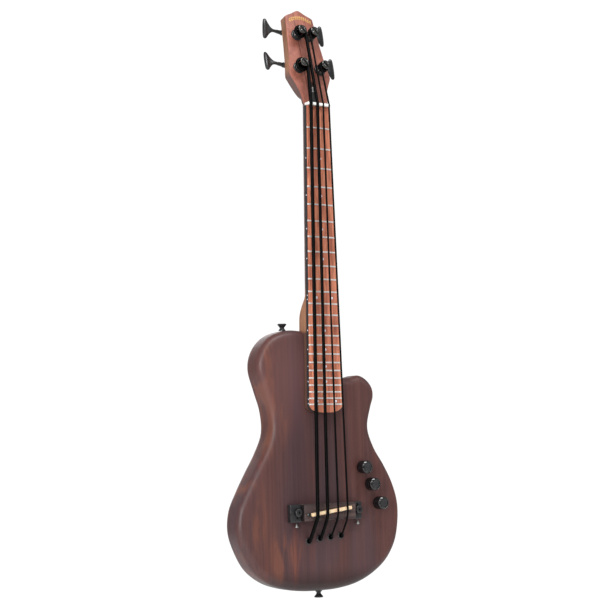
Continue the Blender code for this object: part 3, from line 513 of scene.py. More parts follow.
def wood_face(look):
    """Colour of the reddish veneer on the head, with its glue lines."""
    bands = look.noise((55, 55, 3.4), 3.0, 0.5, (4, 4, 4), 0.3)
    face = look.ramp(bands, (0.32, rgb(132, 80, 68)), (0.52, rgb(156, 95, 80)), (0.7, rgb(174, 110, 92)))
    fine = look.noise((520, 520, 9), 4.0, 0.6, (8, 3, 2))
    streaks = look.ramp(fine, (0.3, (0.74, 0.72, 0.72, 1)), (0.6, (1.1, 1.1, 1.1, 1)))
    face = look.mix(1.0, face, streaks, "MULTIPLY")
    for x, width, share in ((-9.2, 0.75, 0.75), (9.6, 0.6, 0.55)):
        off = look.math("ABSOLUTE", look.math("SUBTRACT", look.axis("X"), x * MM))
        line = look.mask(off, width * 1.6 * MM, width * 0.5 * MM)
        face = look.tint(face, line, share, 82, 44, 38)
    return face


def board_wood():
    """The fingerboard's orange-brown rosewood, its grain along z."""
    look = wood("rosewood_board", rgb(176, 102, 80), rgb(214, 131, 102), rgb(236, 154, 122), 0.5,
                grain=(520, 520, 26), band=(90, 90, 14), streak=0.42, pores=0.16)
    return look.material


def bridge_wood():
    """The bridge's dark rosewood, its grain along x, with grey specks and painted shade making both of its
    end faces nearly black.
    """
    look = wood("bridge_rosewood", rgb(54, 42, 42), rgb(76, 60, 58), rgb(92, 74, 70), 0.5,
                grain=(60, 900, 900), band=(10, 160, 160), streak=0.35, pores=0.1)
    speck = look.mask(look.noise(600, 3.0, 0.7, (3, 3, 8)), 0.55, 0.68)
    colour = look.tint(look.colour, speck, 0.35, 128, 108, 106)
    # painted shade: both end faces of the base are made nearly black, for the shaded gap against the end
    # blocks
    end_shade = look.mask(look.math("ABSOLUTE", look.axis("X")), 44 * MM, 44.3 * MM)
    look.put("Base Color", look.tint(colour, end_shade, 0.9, 20, 16, 17))
    return look.material


def bone():
    """The saddle: creamy, with small brown marks from the strings."""
    look = Look("bone", rgb(238, 214, 176), 0.38, Subsurface_Weight=0.12, Subsurface_Scale=0.001)
    cloud = look.noise(220, 3.0)
    colour = look.ramp(cloud, (0.35, rgb(240, 202, 158)), (0.6, rgb(252, 226, 188)))
    marks = look.mask(look.noise((900, 900, 500), 2.0, 0.5, (6, 1, 0)), 0.62, 0.72)
    look.put("Base Color", look.tint(colour, marks, 0.5, 164, 112, 70))
    return look.bump(cloud, 0.03, 0.3).material


def white_nut():
    """The nut, whiter than the saddle."""
    look = Look("nut_bone", rgb(246, 246, 244), 0.35)
    cloud = look.noise(300, 3.0)
    look.put("Base Color", look.ramp(cloud, (0.35, rgb(236, 236, 232)), (0.6, rgb(252, 252, 250))))
    return look.bump(cloud, 0.02, 0.2).material


def black_metal(name="black_metal", roughness=0.3, level=33):
    """Black plating with a fine haze."""
    look = Look(name, rgb(level, level, level + 2), roughness, Specular_IOR_Level=0.6)
    haze = look.noise(260, 4.0, 0.6)
    look.rough(haze, 0.14, roughness - 0.07)
    look.put("Base Color", look.ramp(haze, (0.3, rgb(level - 7, level - 7, level - 6)),
                                     (0.7, rgb(level + 8, level + 8, level + 11))))
    return look.bump(look.noise(2400, 2.0), 0.01, 0.25).material


def steel(name="steel", tone=190, roughness=0.3, metallic=1.0):
    """Brushed metal, its lines along x."""
    look = Look(name, rgb(tone, tone, tone - 2), roughness, Metallic=metallic)
    brush = look.noise((300, 1800, 1800), 4.0, 0.6)
    look.rough(brush, 0.3, roughness - 0.12)
    look.put("Base Color", look.ramp(brush, (0.3, rgb(tone - 25, tone - 25, tone - 26)),
                                     (0.7, rgb(tone + 18, tone + 18, tone + 16))))
    return look.bump(brush, 0.01, 0.3).material


def plastic(name, level, roughness, grain=1500, gloss=0.4):
    """Grey to black plastic or rubber, a little dusty."""
    look = Look(name, rgb(level, level, level + 1), roughness, Specular_IOR_Level=gloss)
    dust = look.noise(grain, 3.0, 0.6)
    look.put("Base Color", look.ramp(dust, (0.3, rgb(level * 0.7, level * 0.7, level * 0.75)),
                                     (0.7, rgb(level * 1.25, level * 1.25, level * 1.3))))
    look.rough(dust, 0.2, roughness - 0.1)
    return look.bump(dust, 0.015, 0.4).material


def gold():
    look = Look("gold_ornament", rgb(214, 172, 96), 0.42, Metallic=0.55)
    leaf = look.noise(700, 3.0)
    look.put("Base Color", look.ramp(leaf, (0.35, rgb(196, 146, 88)), (0.65, rgb(226, 182, 122))))
    return look.bump(leaf, 0.01, 0.3).material


def circuit_board():
    look = Look("circuit_board", rgb(20, 84, 50), 0.4)
    tracks = look.add("TexBrick", {"Vector": look.place, "Scale": 260.0, "Color1": rgb(18, 80, 46),
                                   "Color2": rgb(26, 98, 58), "Mortar": rgb(120, 130, 70),
                                   "Mortar Size": 0.03}).outputs["Color"]
    look.put("Base Color", tracks)
    return look.material


def striped(name, one, two, scale):
    """Two colours in bands along z, for the battery's wrap and the pickup's film."""
    look = Look(name, one, 0.4, Metallic=0.4)
    wave = look.add("TexWave", {"Vector": look.place, "Scale": scale, "Distortion": 0.4}, bands_direction="Z")
    look.put("Base Color", look.ramp(wave.outputs["Fac"], (0.45, one), (0.55, two)))
    return look.material


STAINED = stained_wood()
NECK = neck_wood()
BOARD = board_wood()
BRIDGE = bridge_wood()
SADDLE = bone()
NUT = white_nut()
BLACK = black_metal()
SHINY_BLACK = black_metal("shiny_black", 0.12, 14)
STEEL = steel()
DULL_STEEL = steel("dull_steel", 165, 0.5)
DARK_STEEL = steel("dark_steel", 84, 0.4)
CHROME = steel("black_chrome", 92, 0.2)
FRET_STEEL = steel("fret_steel", 236, 0.34, 0.35)
RUBBER = plastic("string_rubber", 2, 0.45, 900, 0.08)
PLASTIC = plastic("black_plastic", 20, 0.42)
KNOB_FACE = black_metal("knob_face", 0.4, 38)
BINDING = plastic("board_binding", 44, 0.5)
PEARL = plastic("pearl_dot", 236, 0.3)
GOLD = gold()
CIRCUIT = circuit_board()
BATTERY = striped("battery_skin", rgb(60, 62, 66), rgb(150, 110, 60), 12.0)
FILM = striped("piezo_film", rgb(190, 150, 90), rgb(150, 116, 70), 60.0)


# ---- body

BODY_OUTLINE = (
    (-21.1, 385), (-49.1, 386), (-76.1, 378.5), (-93.1, 364.5), (-102.6, 346), (-104, 328),
    (-95.2, 298.6), (-85.8, 269.3), (-84.2, 239), (-96.2, 210.7), (-112.2, 184.4), (-127.5, 157.8),
    (-140.6, 130), (-143.1, 99.7), (-133.5, 70.6), (-117.3, 44.6), (-92.8, 26.3), (-63.9, 16.2),
    (-33.1, 11.6), (0.9, 10.6), (27.9, 11.8), (58.2, 17.2), (86.5, 28.9), (111.3, 47),
    (128.4, 72.3), (135.7, 102.1), (135.9, 132.7), (127, 162.1), (112.4, 189.1), (95.6, 214.9),
    (85.8, 243.6), (92.2, 273.3), (97.3, 289), (95.9, 302), (86.9, 314), (72.9, 321),
    (52.9, 317.5), (38.9, 320), (29.9, 334), (27.9, 352), (24.9, 370), (12.9, 383),
    (-4, 385),
)
BODY_THICKNESS = 42
BODY_ROUNDING = 12
POCKET_FLOOR = 5.3                   # of the neck pocket, behind the body's middle
STRING_HOLES = {"e": (-28.2, 82.9), "a": (-9.2, 85.9), "d": (9.2, 86.9), "g": (27.4, 88.0)}
KNOBS = (("volume", 67.9, 185.6), ("bass", 81.4, 160.4), ("treble", 95.1, 132.3))
CAVITY = (74.8, 160.4)
CAVITY_LEAN = spin("Y", -27)
JACK = shift(135.8, 0, 106) @ spin("Y", 90)
NECK_PLATE_Z = 285
NECK_SCREWS = [(x, NECK_PLATE_Z + dz) for dz in (-10.8, 10.8) for x in (-19, 19)]


def board_half_width(z):
    """Half width of the fingerboard at a height, both in metres."""
    share = (NUT_Z - z) / (NUT_Z - BOARD_END_Z)
    return (21.1 + share * (29.7 - 21.1)) * MM


def board_end_half_width(z):
    """Half width of the board with its rounded end."""
    left = min(1.0, max(0.0, 1 - (z - BOARD_END_Z) / BOARD_END_ROUND))
    return board_half_width(z) * (1 - left**2.5) ** 0.4


def board_outline(margin, top):
    """Outline in mm of the board up to a height, wider by a margin."""
    points = []
    for step in range(25):
        z = BOARD_END_Z + BOARD_END_ROUND * (step / 24) ** 2
        points.append(Vector((board_end_half_width(z) / MM + margin * min(1, step), z / MM)))
    points.append(Vector((board_half_width(top) / MM + margin, top / MM)))
    return [Vector((-point.x, point.y)) for point in reversed(points[1:])] + points


def fret_z(number):
    return NUT_Z - SCALE_LENGTH * (1 - 2 ** (-number / 12))


def rounded_rectangle(half_x, half_y, radius, steps=8):
    corners = ((half_x, half_y, radius), (-half_x, half_y, radius),
               (-half_x, -half_y, radius), (half_x, -half_y, radius))
    return corner_arcs(corners, True, steps)


def cavity_frame(y):
    """Frame on the leaning control cavity at a depth in mm, local z out of the back."""
    return shift(CAVITY[0], y, CAVITY[1]) @ CAVITY_LEAN @ FACING_BACK


def make_body():
    outline = smooth_through(BODY_OUTLINE, True, 10)
    mesh = slab_mesh("body_wood", outline, BODY_THICKNESS, BODY_ROUNDING, FACING_FRONT, 9)
    hollows = (
        (board_outline(0.3, 400 * MM), 30, shift(0, POCKET_FLOOR - 15, 0) @ FACING_FRONT),
        (rounded_rectangle(19, 47, 7), 40, cavity_frame(5)),
        (rounded_rectangle(23.5, 51.5, 9), 8, cavity_frame(23)),
    )
    cutters = [slab_mesh("cutter", shape, depth, 0, place, support=0.1) for shape, depth, place in hollows]
    cutters += [
        cutter_bar(12.4, -1.6, 9, JACK, 48),
        cutter_bar(7.9, -29, 2, JACK),
    ]
    for x, z in STRING_HOLES.values():
        cutters.append(cutter_bar(4.5, -3, 45, on_back(x, z, -42)))
    for _, x, z in KNOBS:
        cutters.append(cutter_bar(5.1, -9, 3, on_front(x, z)))
    piece(carved(mesh, *cutters), STAINED, ROOT, "stained_mahogany", "body", sharp=24)


# ---- neck and head

# half widths of the head at distances above the nut's place on its face
HEAD_FLARE = ((21.6, 2), (21.9, 6), (22.6, 12), (24.2, 19), (27.2, 27.5), (30.6, 35), (34.2, 42.6))
HEAD_SIDE = ((35.9, 47), (34.6, 56), (31.2, 76), (28.3, 101), (25.9, 125), (24.4, 144.8))
HEAD_CROWN = ((23.8, 146.2), (18.6, 149.1), (14.8, 150.8), (10.8, 152.8), (7, 155.2), (3.6, 156.9),
              (1.2, 157.6))
NECK_DEPTH = 13.5


def neck_ring(half_width, depth, squareness, edge, matrix, count=36):
    """A section in mm: flat in front with rounded edges, round or square at the back."""
    points = []
    for step in range(4):
        angle = math.radians(90) * step / 4
        points.append((half_width - edge * (1 - math.sin(angle)), edge * (1 - math.cos(angle))))
    for i in range(count + 1):
        c, s = math.cos(math.pi * i / count), math.sin(math.pi * i / count)
        points.append((half_width * math.copysign(abs(c) ** (2 / squareness), c),
                       edge + (depth - edge) * abs(s) ** (2 / squareness)))
    points += [(-x, y) for x, y in reversed(points[:4])]
    return [at(matrix, x, y) for x, y in points]


def ease(value, low, high):
    """A smooth step from 0 to 1."""
    t = max(0.0, min(1.0, (value - low) / (high - low)))
    return t * t * (3 - 2 * t)


def make_neck():
    rings = []
    heights = [BOARD_END_Z + 0.3 * MM + BOARD_END_ROUND * (step / 12) ** 2 for step in range(1, 13)]
    heights += [HEEL_TOP_Z - 2 * MM] + [HEEL_TOP_Z + HEEL_FADE * step / 14 for step in range(15)]
    heights += [HEEL_TOP_Z + step * MM for step in range(50, 300, 50)] + [NUT_Z, NUT_Z + 4.6 * MM]
    for z in heights:
        heel = 1 - ease(z, HEEL_TOP_Z, HEEL_TOP_Z + HEEL_FADE)
        half_width = board_end_half_width(min(z, NUT_Z) - 0.3 * MM) / MM - 0.35
        place = Matrix.Translation((0, NECK_FRONT_Y, z))
        rings.append(neck_ring(half_width, NECK_DEPTH + heel * 9, 2.3 + heel * 9.7, 0.25, place))
    flare = smooth_through(HEAD_FLARE, False, 3)
    crown = smooth_through(HEAD_CROWN, False, 3)
    for half_width, along in (*flare, *HEAD_SIDE, *crown):
        square = ease(along, 8, 34)
        depth = NECK_DEPTH + (HEAD_THICKNESS - NECK_DEPTH) * square
        edge = min(0.25 + 0.75 * square, half_width * 0.4)
        rings.append(neck_ring(half_width, depth, 2.4 + square * 22, edge, HEAD @ shift(0, 0, along)))
    mesh = mesh_of("neck_wood", lambda work: skin(work, rings))
    cutters = [
        trough(rod_frame(), -14, ((0.4, 1), (1, 0.6)),
               ((-1.5, 4.6, 4.4), (24, 4.4, 4.2), (38, 3.2, 0.5), (47, 1.6, -2.6))),
        trough(HEAD, -3, ((1, 1),),
               ((-1, 6.8, 5.5), (12, 6.2, 5), (25, 4.4, 3.6), (34, 2.6, 2), (40, 0.9, 0.4))),
    ]
    cutters += [cutter_bar(7, -2, 18, tuner_base(key) @ FACING_BACK) for key in POSTS]
    piece(carved(mesh, *cutters), NECK, ROOT, "neck_mahogany", "neck", sharp=30)
    make_ornament()


def trough(place, open_y, corners, sections):
    """A cutter for the rod's slot: sections of z, half width and depth, with corners as shares of these."""
    rings = []
    for z, half, deep in sections:
        side = [(half, open_y)] + [(half * across, deep * down) for down, across in corners]
        outline = [(-half, open_y)] + side + [(-x, y) for x, y in reversed(side[1:])]
        rings.append([at(place, x, y, z) for x, y in outline])
    return mesh_of("cutter", lambda work: skin(work, rings))


def rod_frame():
    """A frame at the low end of the truss rod's nut, its z axis along the rod."""
    start = Vector((0, BOARD_Y + 11.3 * MM, NUT_Z + 3.8 * MM))
    return Matrix.Translation(start) @ spin("X", -7)


def make_ornament():
    """A plain gold garland under the crown of the head: pairs of leaves on an arched stem."""
    face = HEAD @ shift(0, -0.1, 0) @ FACING_FRONT
    half_leaf = [i / 6 for i in range(7)]
    leaf = [(1, t) for t in half_leaf] + [(-1, t) for t in half_leaf[5:0:-1]]

    def arch(t):
        """The stem's line in mm, from its left end at -1 to its right end at 1."""
        return Vector((19.5 * t, 145.2 - 6.2 * t * t))

    def stem(work):
        tube(work, [at(face, *arch(i / 24 - 1)) for i in range(49)], 0.45 * MM, 6)

    def leaves(work):
        for step in range(-5, 6):
            foot = arch(step / 5.4)
            for side in (-1, 1):
                lean = math.radians(90 - 0.45 * math.degrees(math.atan2(foot.x, 40)))
                tip = Vector((math.cos(lean) * 0.5 + 0.55, math.sin(lean) * side)).normalized()
                across = Vector((-tip.y, tip.x))
                rim = [foot + tip * (0.2 + 3.7 * t) + across * (1.25 * turn * math.sin(math.pi * t**0.8))
                       for turn, t in leaf]
                skin(work, [[at(face, *point, height) for point in rim] for height in (-0.2, 0.3)])

    piece(mesh_of("head_ornament", stem, leaves), GOLD, ROOT, "neck_mahogany")


# ---- fingerboard, frets and nut

def board_ring(z, inset, top_drop):
    """Section of the board in metres: square below, crowned above."""
    half = board_end_half_width(z - inset) - inset
    low = NECK_FRONT_Y - 0.3 * MM
    points = [Vector((half, low, z)), Vector((-half, low, z))]
    count = 14
    for i in range(count + 1):
        x = half * (2 * i / count - 1)
        points.append(Vector((x, BOARD_Y + crown_drop(x) + top_drop, z)))
    return points


def board_mesh(name, inset, top_drop):
    first = BOARD_END_Z + inset
    heights = [first + BOARD_END_ROUND * (step / 20) ** 2 for step in range(2, 21)]
    heights += [heights[-1] + share / 12 * (NUT_Z - heights[-1]) for share in range(1, 13)]
    rings = [board_ring(z, inset, top_drop) for z in heights]
    return mesh_of(name, lambda work: skin(work, rings))


DOT_FRETS = (3, 5, 7, 9, 12, 15, 17, 19, 21, 24)
FACE_DOT_PAIRS = {12: (-11.9, 14.9), 24: (-15, 17)}


def crown_drop(x):
    """How far the board's face falls away beside its middle, in metres."""
    return BOARD_RADIUS - math.sqrt(BOARD_RADIUS**2 - x * x)


def dot(work, place, radius):
    lathe(work, ((0, -0.6, 0), (radius, -0.6, 0), (radius, 0.06, 0.03), (0, 0.06, 0)), place, 20)


def make_fingerboard():
    rim = 0.8 * MM
    wood_part = board_mesh("fingerboard_wood", rim, 0)
    edge = carved(board_mesh("board_binding", 0, 0.04 * MM), wood_part.copy())
    piece(wood_part, BOARD, ROOT, "rosewood_board", "fingerboard", sharp=40)
    piece(edge, BINDING, ROOT, "black_plastic", sharp=40)

    def face_dots(work):
        for fret in DOT_FRETS:
            z = (fret_z(fret) + fret_z(fret - 1)) / 2 / MM
            for x in FACE_DOT_PAIRS.get(fret, (0.6,)):
                dot(work, on_front(x, z, (BOARD_Y - FRONT_Y + crown_drop(x * MM)) / MM), 1.9)

    def side_dots(work):
        for fret in DOT_FRETS:
            middle = (fret_z(fret) + fret_z(fret - 1)) / 2
            for off in ((-3, 3) if fret in FACE_DOT_PAIRS else (0,)):
                z = middle + off * MM
                place = (Matrix.Translation((-board_half_width(z), BOARD_Y + 2.6 * MM, z))
                         @ spin("Y", -90))
                dot(work, place, 1.0)

    piece(mesh_of("board_dots", face_dots), PEARL, ROOT, "bone")
    piece(mesh_of("side_dots", side_dots), PEARL, ROOT, "bone")


def make_frets():
    section = ((-1.15, -0.4), (-1.15, 0.1), (-1.0, 0.55), (-0.6, 0.95), (0, 1.1),
               (0.6, 0.95), (1.0, 0.55), (1.15, 0.1), (1.15, -0.4))

    def wires(work):
        for number in range(1, FRET_COUNT + 1):
            z = fret_z(number)
            half = board_half_width(z) - 0.5 * MM
            rings = []
            stations = [-1, -0.985] + [i / 6 - 1 for i in range(1, 12)] + [0.985, 1]
            for station in stations:
                x = half * station
                y = BOARD_Y + crown_drop(x)
                low = 0.35 if abs(station) == 1 else 1.0
                rings.append([Vector((x, y - up * low * MM, z + off * MM)) for off, up in section])
            skin(work, rings)

    piece(mesh_of("fret_wires", wires), FRET_STEEL, ROOT, "steel", "frets", sharp=50)


STRINGS = (               # name, radius, x at the nut, x at the saddle, turns on the post
    ("e", 2.7, -15.5, -26.3, 1.125),
    ("a", 2.4, -3.9, -9.1, 1.25),
    ("d", 1.45, 6.6, 9.9, 1.75),
    ("g", 1.4, 16.9, 26.6, 2.25),
)
LIFT_AT_NUT = 1.6                    # of a string's underside over the board's plane
LIFT_AT_SADDLE = 6.9


def make_nut():
    board, nut_z = BOARD_Y / MM, NUT_Z / MM
    nut = boxed("nut_piece", (-20.4, board - 4.2, nut_z + 0.3),
                (20.4, NECK_FRONT_Y / MM - 0.3, nut_z + 4.6), 0.9)
    grooves = []
    for _, radius, x, _, _ in STRINGS:
        y = board - LIFT_AT_NUT - radius
        reach = radius + 0.2
        grooves.append(cutter_bar(reach, -3, 8, shift(x, y, nut_z)))
        grooves.append(cutter_box((x - reach, y - 12, nut_z - 3), (x + reach, y, nut_z + 8)))
    piece(carved(nut, *grooves), NUT, ROOT, "bone", "nut", sharp=40)


def make_truss_rod():
    profile = ((0, 1.2, 0), (2.2, 1.2, 0), (2.2, 2, 0), (3.5, 2, 0.3), (3.5, 20, 0.6), (0, 20, 0))
    nut = turned("rod_nut", profile, rod_frame(), 32)
    socket = cutter_bar(2, 12, 22, rod_frame(), 6)
    piece(carved(nut, socket), BLACK, "rod_nut", "black_metal", "truss_rod_nut")
    tip = ((0, 28, 0), (1.4, 28, 0.4), (1.4, 20.5, 0), (0, 20.5, 0))
    piece(turned("rod_end", tip, rod_frame(), 20), STEEL, "rod_nut", "steel")


# ---- tuners

POSTS = {                 # x and height on the head, the key's side, and its angle at rest
    "e": (-18.7, 58, -1, -6), "a": (-11, 114, -1, 7), "d": (11, 114, 1, 13), "g": (18.7, 58, 1, 13),
}
POST_HEIGHT = 20
POST_WAIST = 5.0
WORM = (21.4, 14)                    # behind the head's face, and above the post
PLATE_FRONT, PLATE_BACK = 15.3, 17   # the housing plate's faces, behind the head's face


def tuner_base(key):
    """A frame where the post comes out of the head's face, its x axis across to the key."""
    x, along, side, _ = POSTS[key]
    lean = spin("Y", -side * 6.4)
    return HEAD @ shift(x, 0, along) @ lean


def cross_screw(radius, height):
    """A screw's head with a cross recess, standing on the plane z = 0."""
    low = height * 0.35
    profile = ((0, 0, 0), (radius, 0, 0), (radius, low, 0.2), (radius * 0.62, height, 0.6), (0, height, 0))
    head = turned("screw", profile, Matrix.Identity(4), 28)
    reach, half = radius * 0.5, radius * 0.12
    one = cutter_box((-reach, -half, low), (reach, half, height * 2))
    two = cutter_box((-half, -reach, low), (half, reach, height * 2))
    return carved(head, one, two)


SMALL_SCREW = cross_screw(2.4, 1.2)
PLATE_SCREW = cross_screw(4.2, 2.0)


def make_post(key):
    base = tuner_base(key) @ FACING_FRONT
    top = POST_HEIGHT
    profile = ((0, top, 0), (3.1, top, 0.1), (3.4, top - 0.45, 0.1), (3.9, top - 0.45, 0.1),
               (4.2, top, 0.1), (6.9, top, 0.9), (7.0, top - 2.2, 0.6), (5.3, top - 3.2, 0.8),
               (POST_WAIST, 11, 3), (5.3, 4.6, 0.8), (6.7, 3.7, 0.4), (6.7, 2.6, 0.2), (4.5, 2.6, 0),
               (4.5, -17.6, 0), (5.5, -17.6, 0), (0, -17.6, 0))
    slot = cutter_box((-1.0, -8.5, top - 1.5), (1.0, 8.5, top + 3),
                      base @ spin("Z", 35))
    post = carved(turned("post_" + key, profile, base, 48), slot)

    def teeth(radius, height, step):
        return radius - (0.9 if step % 6 in (3, 4) and radius > 8 else 0)

    def wheel(work):
        lathe(work, ((0, -17.7, 0), (9.4, -17.7, 0.3), (10, -18.6, 0), (10, -22.6, 0), (9.4, -23.4, 0.3),
                     (5.2, -23.4, 0.2), (5.2, -24.4, 0.3), (0, -24.4, 0)), base, 120, reach=teeth)

    both = mesh_of("tuner_post_piece_" + key, put_mesh(post), wheel)
    piece(both, CHROME, "post_" + key, "black_metal", "tuner_post_" + key, sharp=35)


def make_bushing(key):
    profile = ((5.2, 2.3, 0.2), (7.7, 2.3, 0.6), (8.9, 1.6, 0.5), (9.0, 0.3, 0.1), (6.7, 0.3, 0),
               (6.7, -8, 0), (5.2, -8, 0))
    mesh = turned("bushing_" + key, profile, tuner_base(key) @ FACING_FRONT, 48, ring=True)
    piece(mesh, BLACK, ROOT, "black_metal", "tuner_bushing_" + key)


def worm_frame(key):
    """A frame on the middle of the worm, its x axis along it."""
    return tuner_base(key) @ shift(0, *WORM)


def make_housing(key):
    side = POSTS[key][2]
    base = tuner_base(key)
    behind, above = WORM
    low_x, high_x = (-11.5, 8.2) if side < 0 else (-8.2, 11.5)
    plate = boxed("housing", (low_x, PLATE_FRONT, -13), (high_x, PLATE_BACK, 19.5), 0.6, base)
    plate = carved(plate, cutter_bar(5.2, -2, 4, base @ shift(0, 15, 0) @ FACING_BACK))
    makers = [put_mesh(plate)]
    worm_bore = cutter_bar(2.35, -14, 14, worm_frame(key) @ spin("Y", 90))
    for low, high in ((-8, -5), (5, 8)):
        lug = boxed("lug", (low, 16.6, above - 3.9), (high, behind + 3.9, above + 3.9), 0.7, base)
        makers.append(put_mesh(carved(lug, worm_bore.copy())))
    for x, z in ((-5.5 * side, -10), (8.6 * side, 0.5)):
        makers.append(put_mesh(SMALL_SCREW, base @ shift(x, PLATE_BACK, z) @ FACING_BACK))
    piece(mesh_of("tuner_housing_piece_" + key, *makers), BLACK, ROOT, "black_metal", "tuner_housing_" + key)


KEY_SECTIONS = (          # along the shaft, half width, half thickness
    (8.6, 3.7, 3.7), (13.2, 3.7, 3.7), (14, 2.9, 2.9), (20, 2.7, 2.7), (23.5, 2.25, 2.3),
    (26.5, 2.3, 2.2), (29, 3.1, 2.1), (31.3, 4.9, 1.95), (33.4, 7.2, 1.85), (35.4, 10.1, 1.8),
    (37.2, 12.9, 1.9), (38.6, 15.0, 2.3), (40.1, 16.0, 2.8), (41.7, 16.2, 3.1), (43.1, 15.6, 2.9),
    (44.0, 14.2, 2.1), (44.3, 11.3, 0.9),
)


def make_key(key):
    side, rest = POSTS[key][2:]
    out_of_head = (worm_frame(key) @ spin("X", rest)
                   @ spin("Y", 90 * side))

    def paddle(work):
        sections = smooth_through(KEY_SECTIONS[4:], False, 3)
        sections = [Vector(section) for section in KEY_SECTIONS[:4]] + sections
        rings = []
        for along, half_width, half_thick in sections:
            # the rim curves: its middle stands a little further out than its tips
            bow = 0.2 * ease(along, 34, 43)
            points = []
            for i in range(32):
                c, s = math.cos(math.tau * i / 32), math.sin(math.tau * i / 32)
                x = half_width * math.copysign(abs(c) ** 0.8, c)
                y = half_thick * math.copysign(abs(s) ** 0.8, s)
                points.append(at(out_of_head, x, y, along - bow * (x / 16.1) ** 2))
            rings.append(points)
        skin(work, rings)

    def worm(work):
        profile = [(0, -7.6, 0), (2, -7.6, 0.2), (2, -4.6, 0)]
        for i in range(5):
            z = -4.2 + i * 1.8
            profile += [(2.5, z, 0), (3.4, z + 0.5, 0.1), (3.4, z + 0.9, 0.1), (2.5, z + 1.4, 0)]
        profile += [(2, 4.7, 0), (2, 8.7, 0), (0, 8.7, 0)]
        lathe(work, profile, out_of_head, 28)

    both = mesh_of("tuner_key_piece_" + key, paddle, worm)
    piece(both, BLACK, "key_" + key, "black_metal", "tuner_key_" + key)


# ---- strings

WRAP_STEPS = 24                      # points in one turn round a post
WRAP_TOP = 3.6                       # of the first turn, under the post's top


def wrap_points(key, radius, turns, nut_point):
    """The string's line from the nut on to its post and down round it."""
    x, along, side, _ = POSTS[key]
    around = POST_WAIST + 0.35 + radius
    start = HEAD.inverted() @ nut_point / MM
    to_post = Vector((x - start.x, along - start.z))
    reach = math.asin(around / to_post.length)
    first = math.atan2(to_post.y, to_post.x) + side * reach + side * math.radians(90)
    points = []
    for step in range(round(turns * WRAP_STEPS) + 1):
        turned_by = step / WRAP_STEPS
        angle = first - side * math.tau * turned_by
        height = POST_HEIGHT - WRAP_TOP - radius - (2 * radius + 0.25) * turned_by
        points.append(at(HEAD, x + around * math.cos(angle), -height, along + around * math.sin(angle)))
    return points


def make_string(key, radius, nut_x, saddle_x, turns):
    """A string from its ball end in the back, over saddle and nut to its post, and its ferrules."""
    hole_x, hole_z = STRING_HOLES[key]
    front, board, nut_z = FRONT_Y / MM, BOARD_Y / MM, NUT_Z / MM
    nut_y = board - LIFT_AT_NUT - radius
    saddle_z = SADDLE_MIDDLE[1] + (saddle_x - SADDLE_MIDDLE[0]) * SADDLE_SLOPE - (3.8 + 0.1 * radius)
    edge_z = 110.8                   # where the string bends over the bridge's low edge
    share = (edge_z - hole_z) / (saddle_z - hole_z)
    corners = [
        (hole_x, 12, hole_z, 0),
        (hole_x, front + 1.5, hole_z, 3),
        (hole_x, front - 1.2 - 0.9 * radius, hole_z + 0.3, 3),
        (hole_x + share * (saddle_x - hole_x), front - 16.3 - 1.06 * radius, edge_z, 9),
        (saddle_x, board - LIFT_AT_SADDLE - radius, saddle_z, 3.5),
        (nut_x, nut_y, nut_z + 0.5, 3),
        (nut_x, nut_y + 0.2, nut_z + 4.8, 3),
    ]
    nut_back = Vector(corners[-1][:3]) * MM
    wraps = wrap_points(key, radius, turns, nut_back)
    corners.append((*(wraps[0] / MM), 0))
    path = [point * MM for point in corner_arcs(corners, False, 6)] + wraps[1:]
    bead = ((0, 11, 0), (2.6, 11, 0.8), (3.6, 12.5, 0.8), (3.6, 17, 1), (2.2, 18, 0.6), (0, 18, 0))
    bead_place = shift(hole_x, 0, hole_z) @ FACING_BACK
    mesh = mesh_of("string_piece_" + key, lambda work: tube(work, path, radius * MM),
                   lambda work: lathe(work, bead, bead_place, 20))
    piece(mesh, RUBBER, ROOT, "string_rubber", "string_" + key, sharp=50)

    front_ring = ((3.6, 1.1, 0.2), (4.3, 1.2, 0.3), (5.2, 0.5, 0.2), (5.3, 0.3, 0), (4.25, 0.3, 0),
                  (4.25, -9, 0), (3.6, -9, 0))
    back_ring = ((3.9, 0.9, 0.2), (5.6, 0.9, 0.5), (6.2, 0.2, 0), (4.3, 0.2, 0), (4.3, -3, 0), (3.9, -3, 0))
    rings = mesh_of("ferrule_" + key,
                    lambda work: lathe(work, front_ring, on_front(hole_x, hole_z), 32, ring=True),
                    lambda work: lathe(work, back_ring, on_back(hole_x, hole_z), 32, ring=True))
    piece(rings, BLACK, ROOT, "black_metal", "string_ferrule_" + key)


# ---- bridge

SADDLE_MIDDLE = (1.4, 124.6)
SADDLE_SLOPE = 8 / 69
SADDLE_PLACE = (shift(SADDLE_MIDDLE[0], 0, SADDLE_MIDDLE[1])
                @ spin("Y", -math.degrees(math.atan(SADDLE_SLOPE))))
SADDLE_SCREW = (-37.2, 120.8)
CLAMP_Z = 124.6
BRIDGE_ENDS = (           # side, width, and x of the clamp screw and of the intonation screw
    ("left", -1, 18.5, -50.8, -50.6), ("right", 1, 14.6, 53.4, 55.4),
)
END_X = 44.8                         # where the two end blocks begin


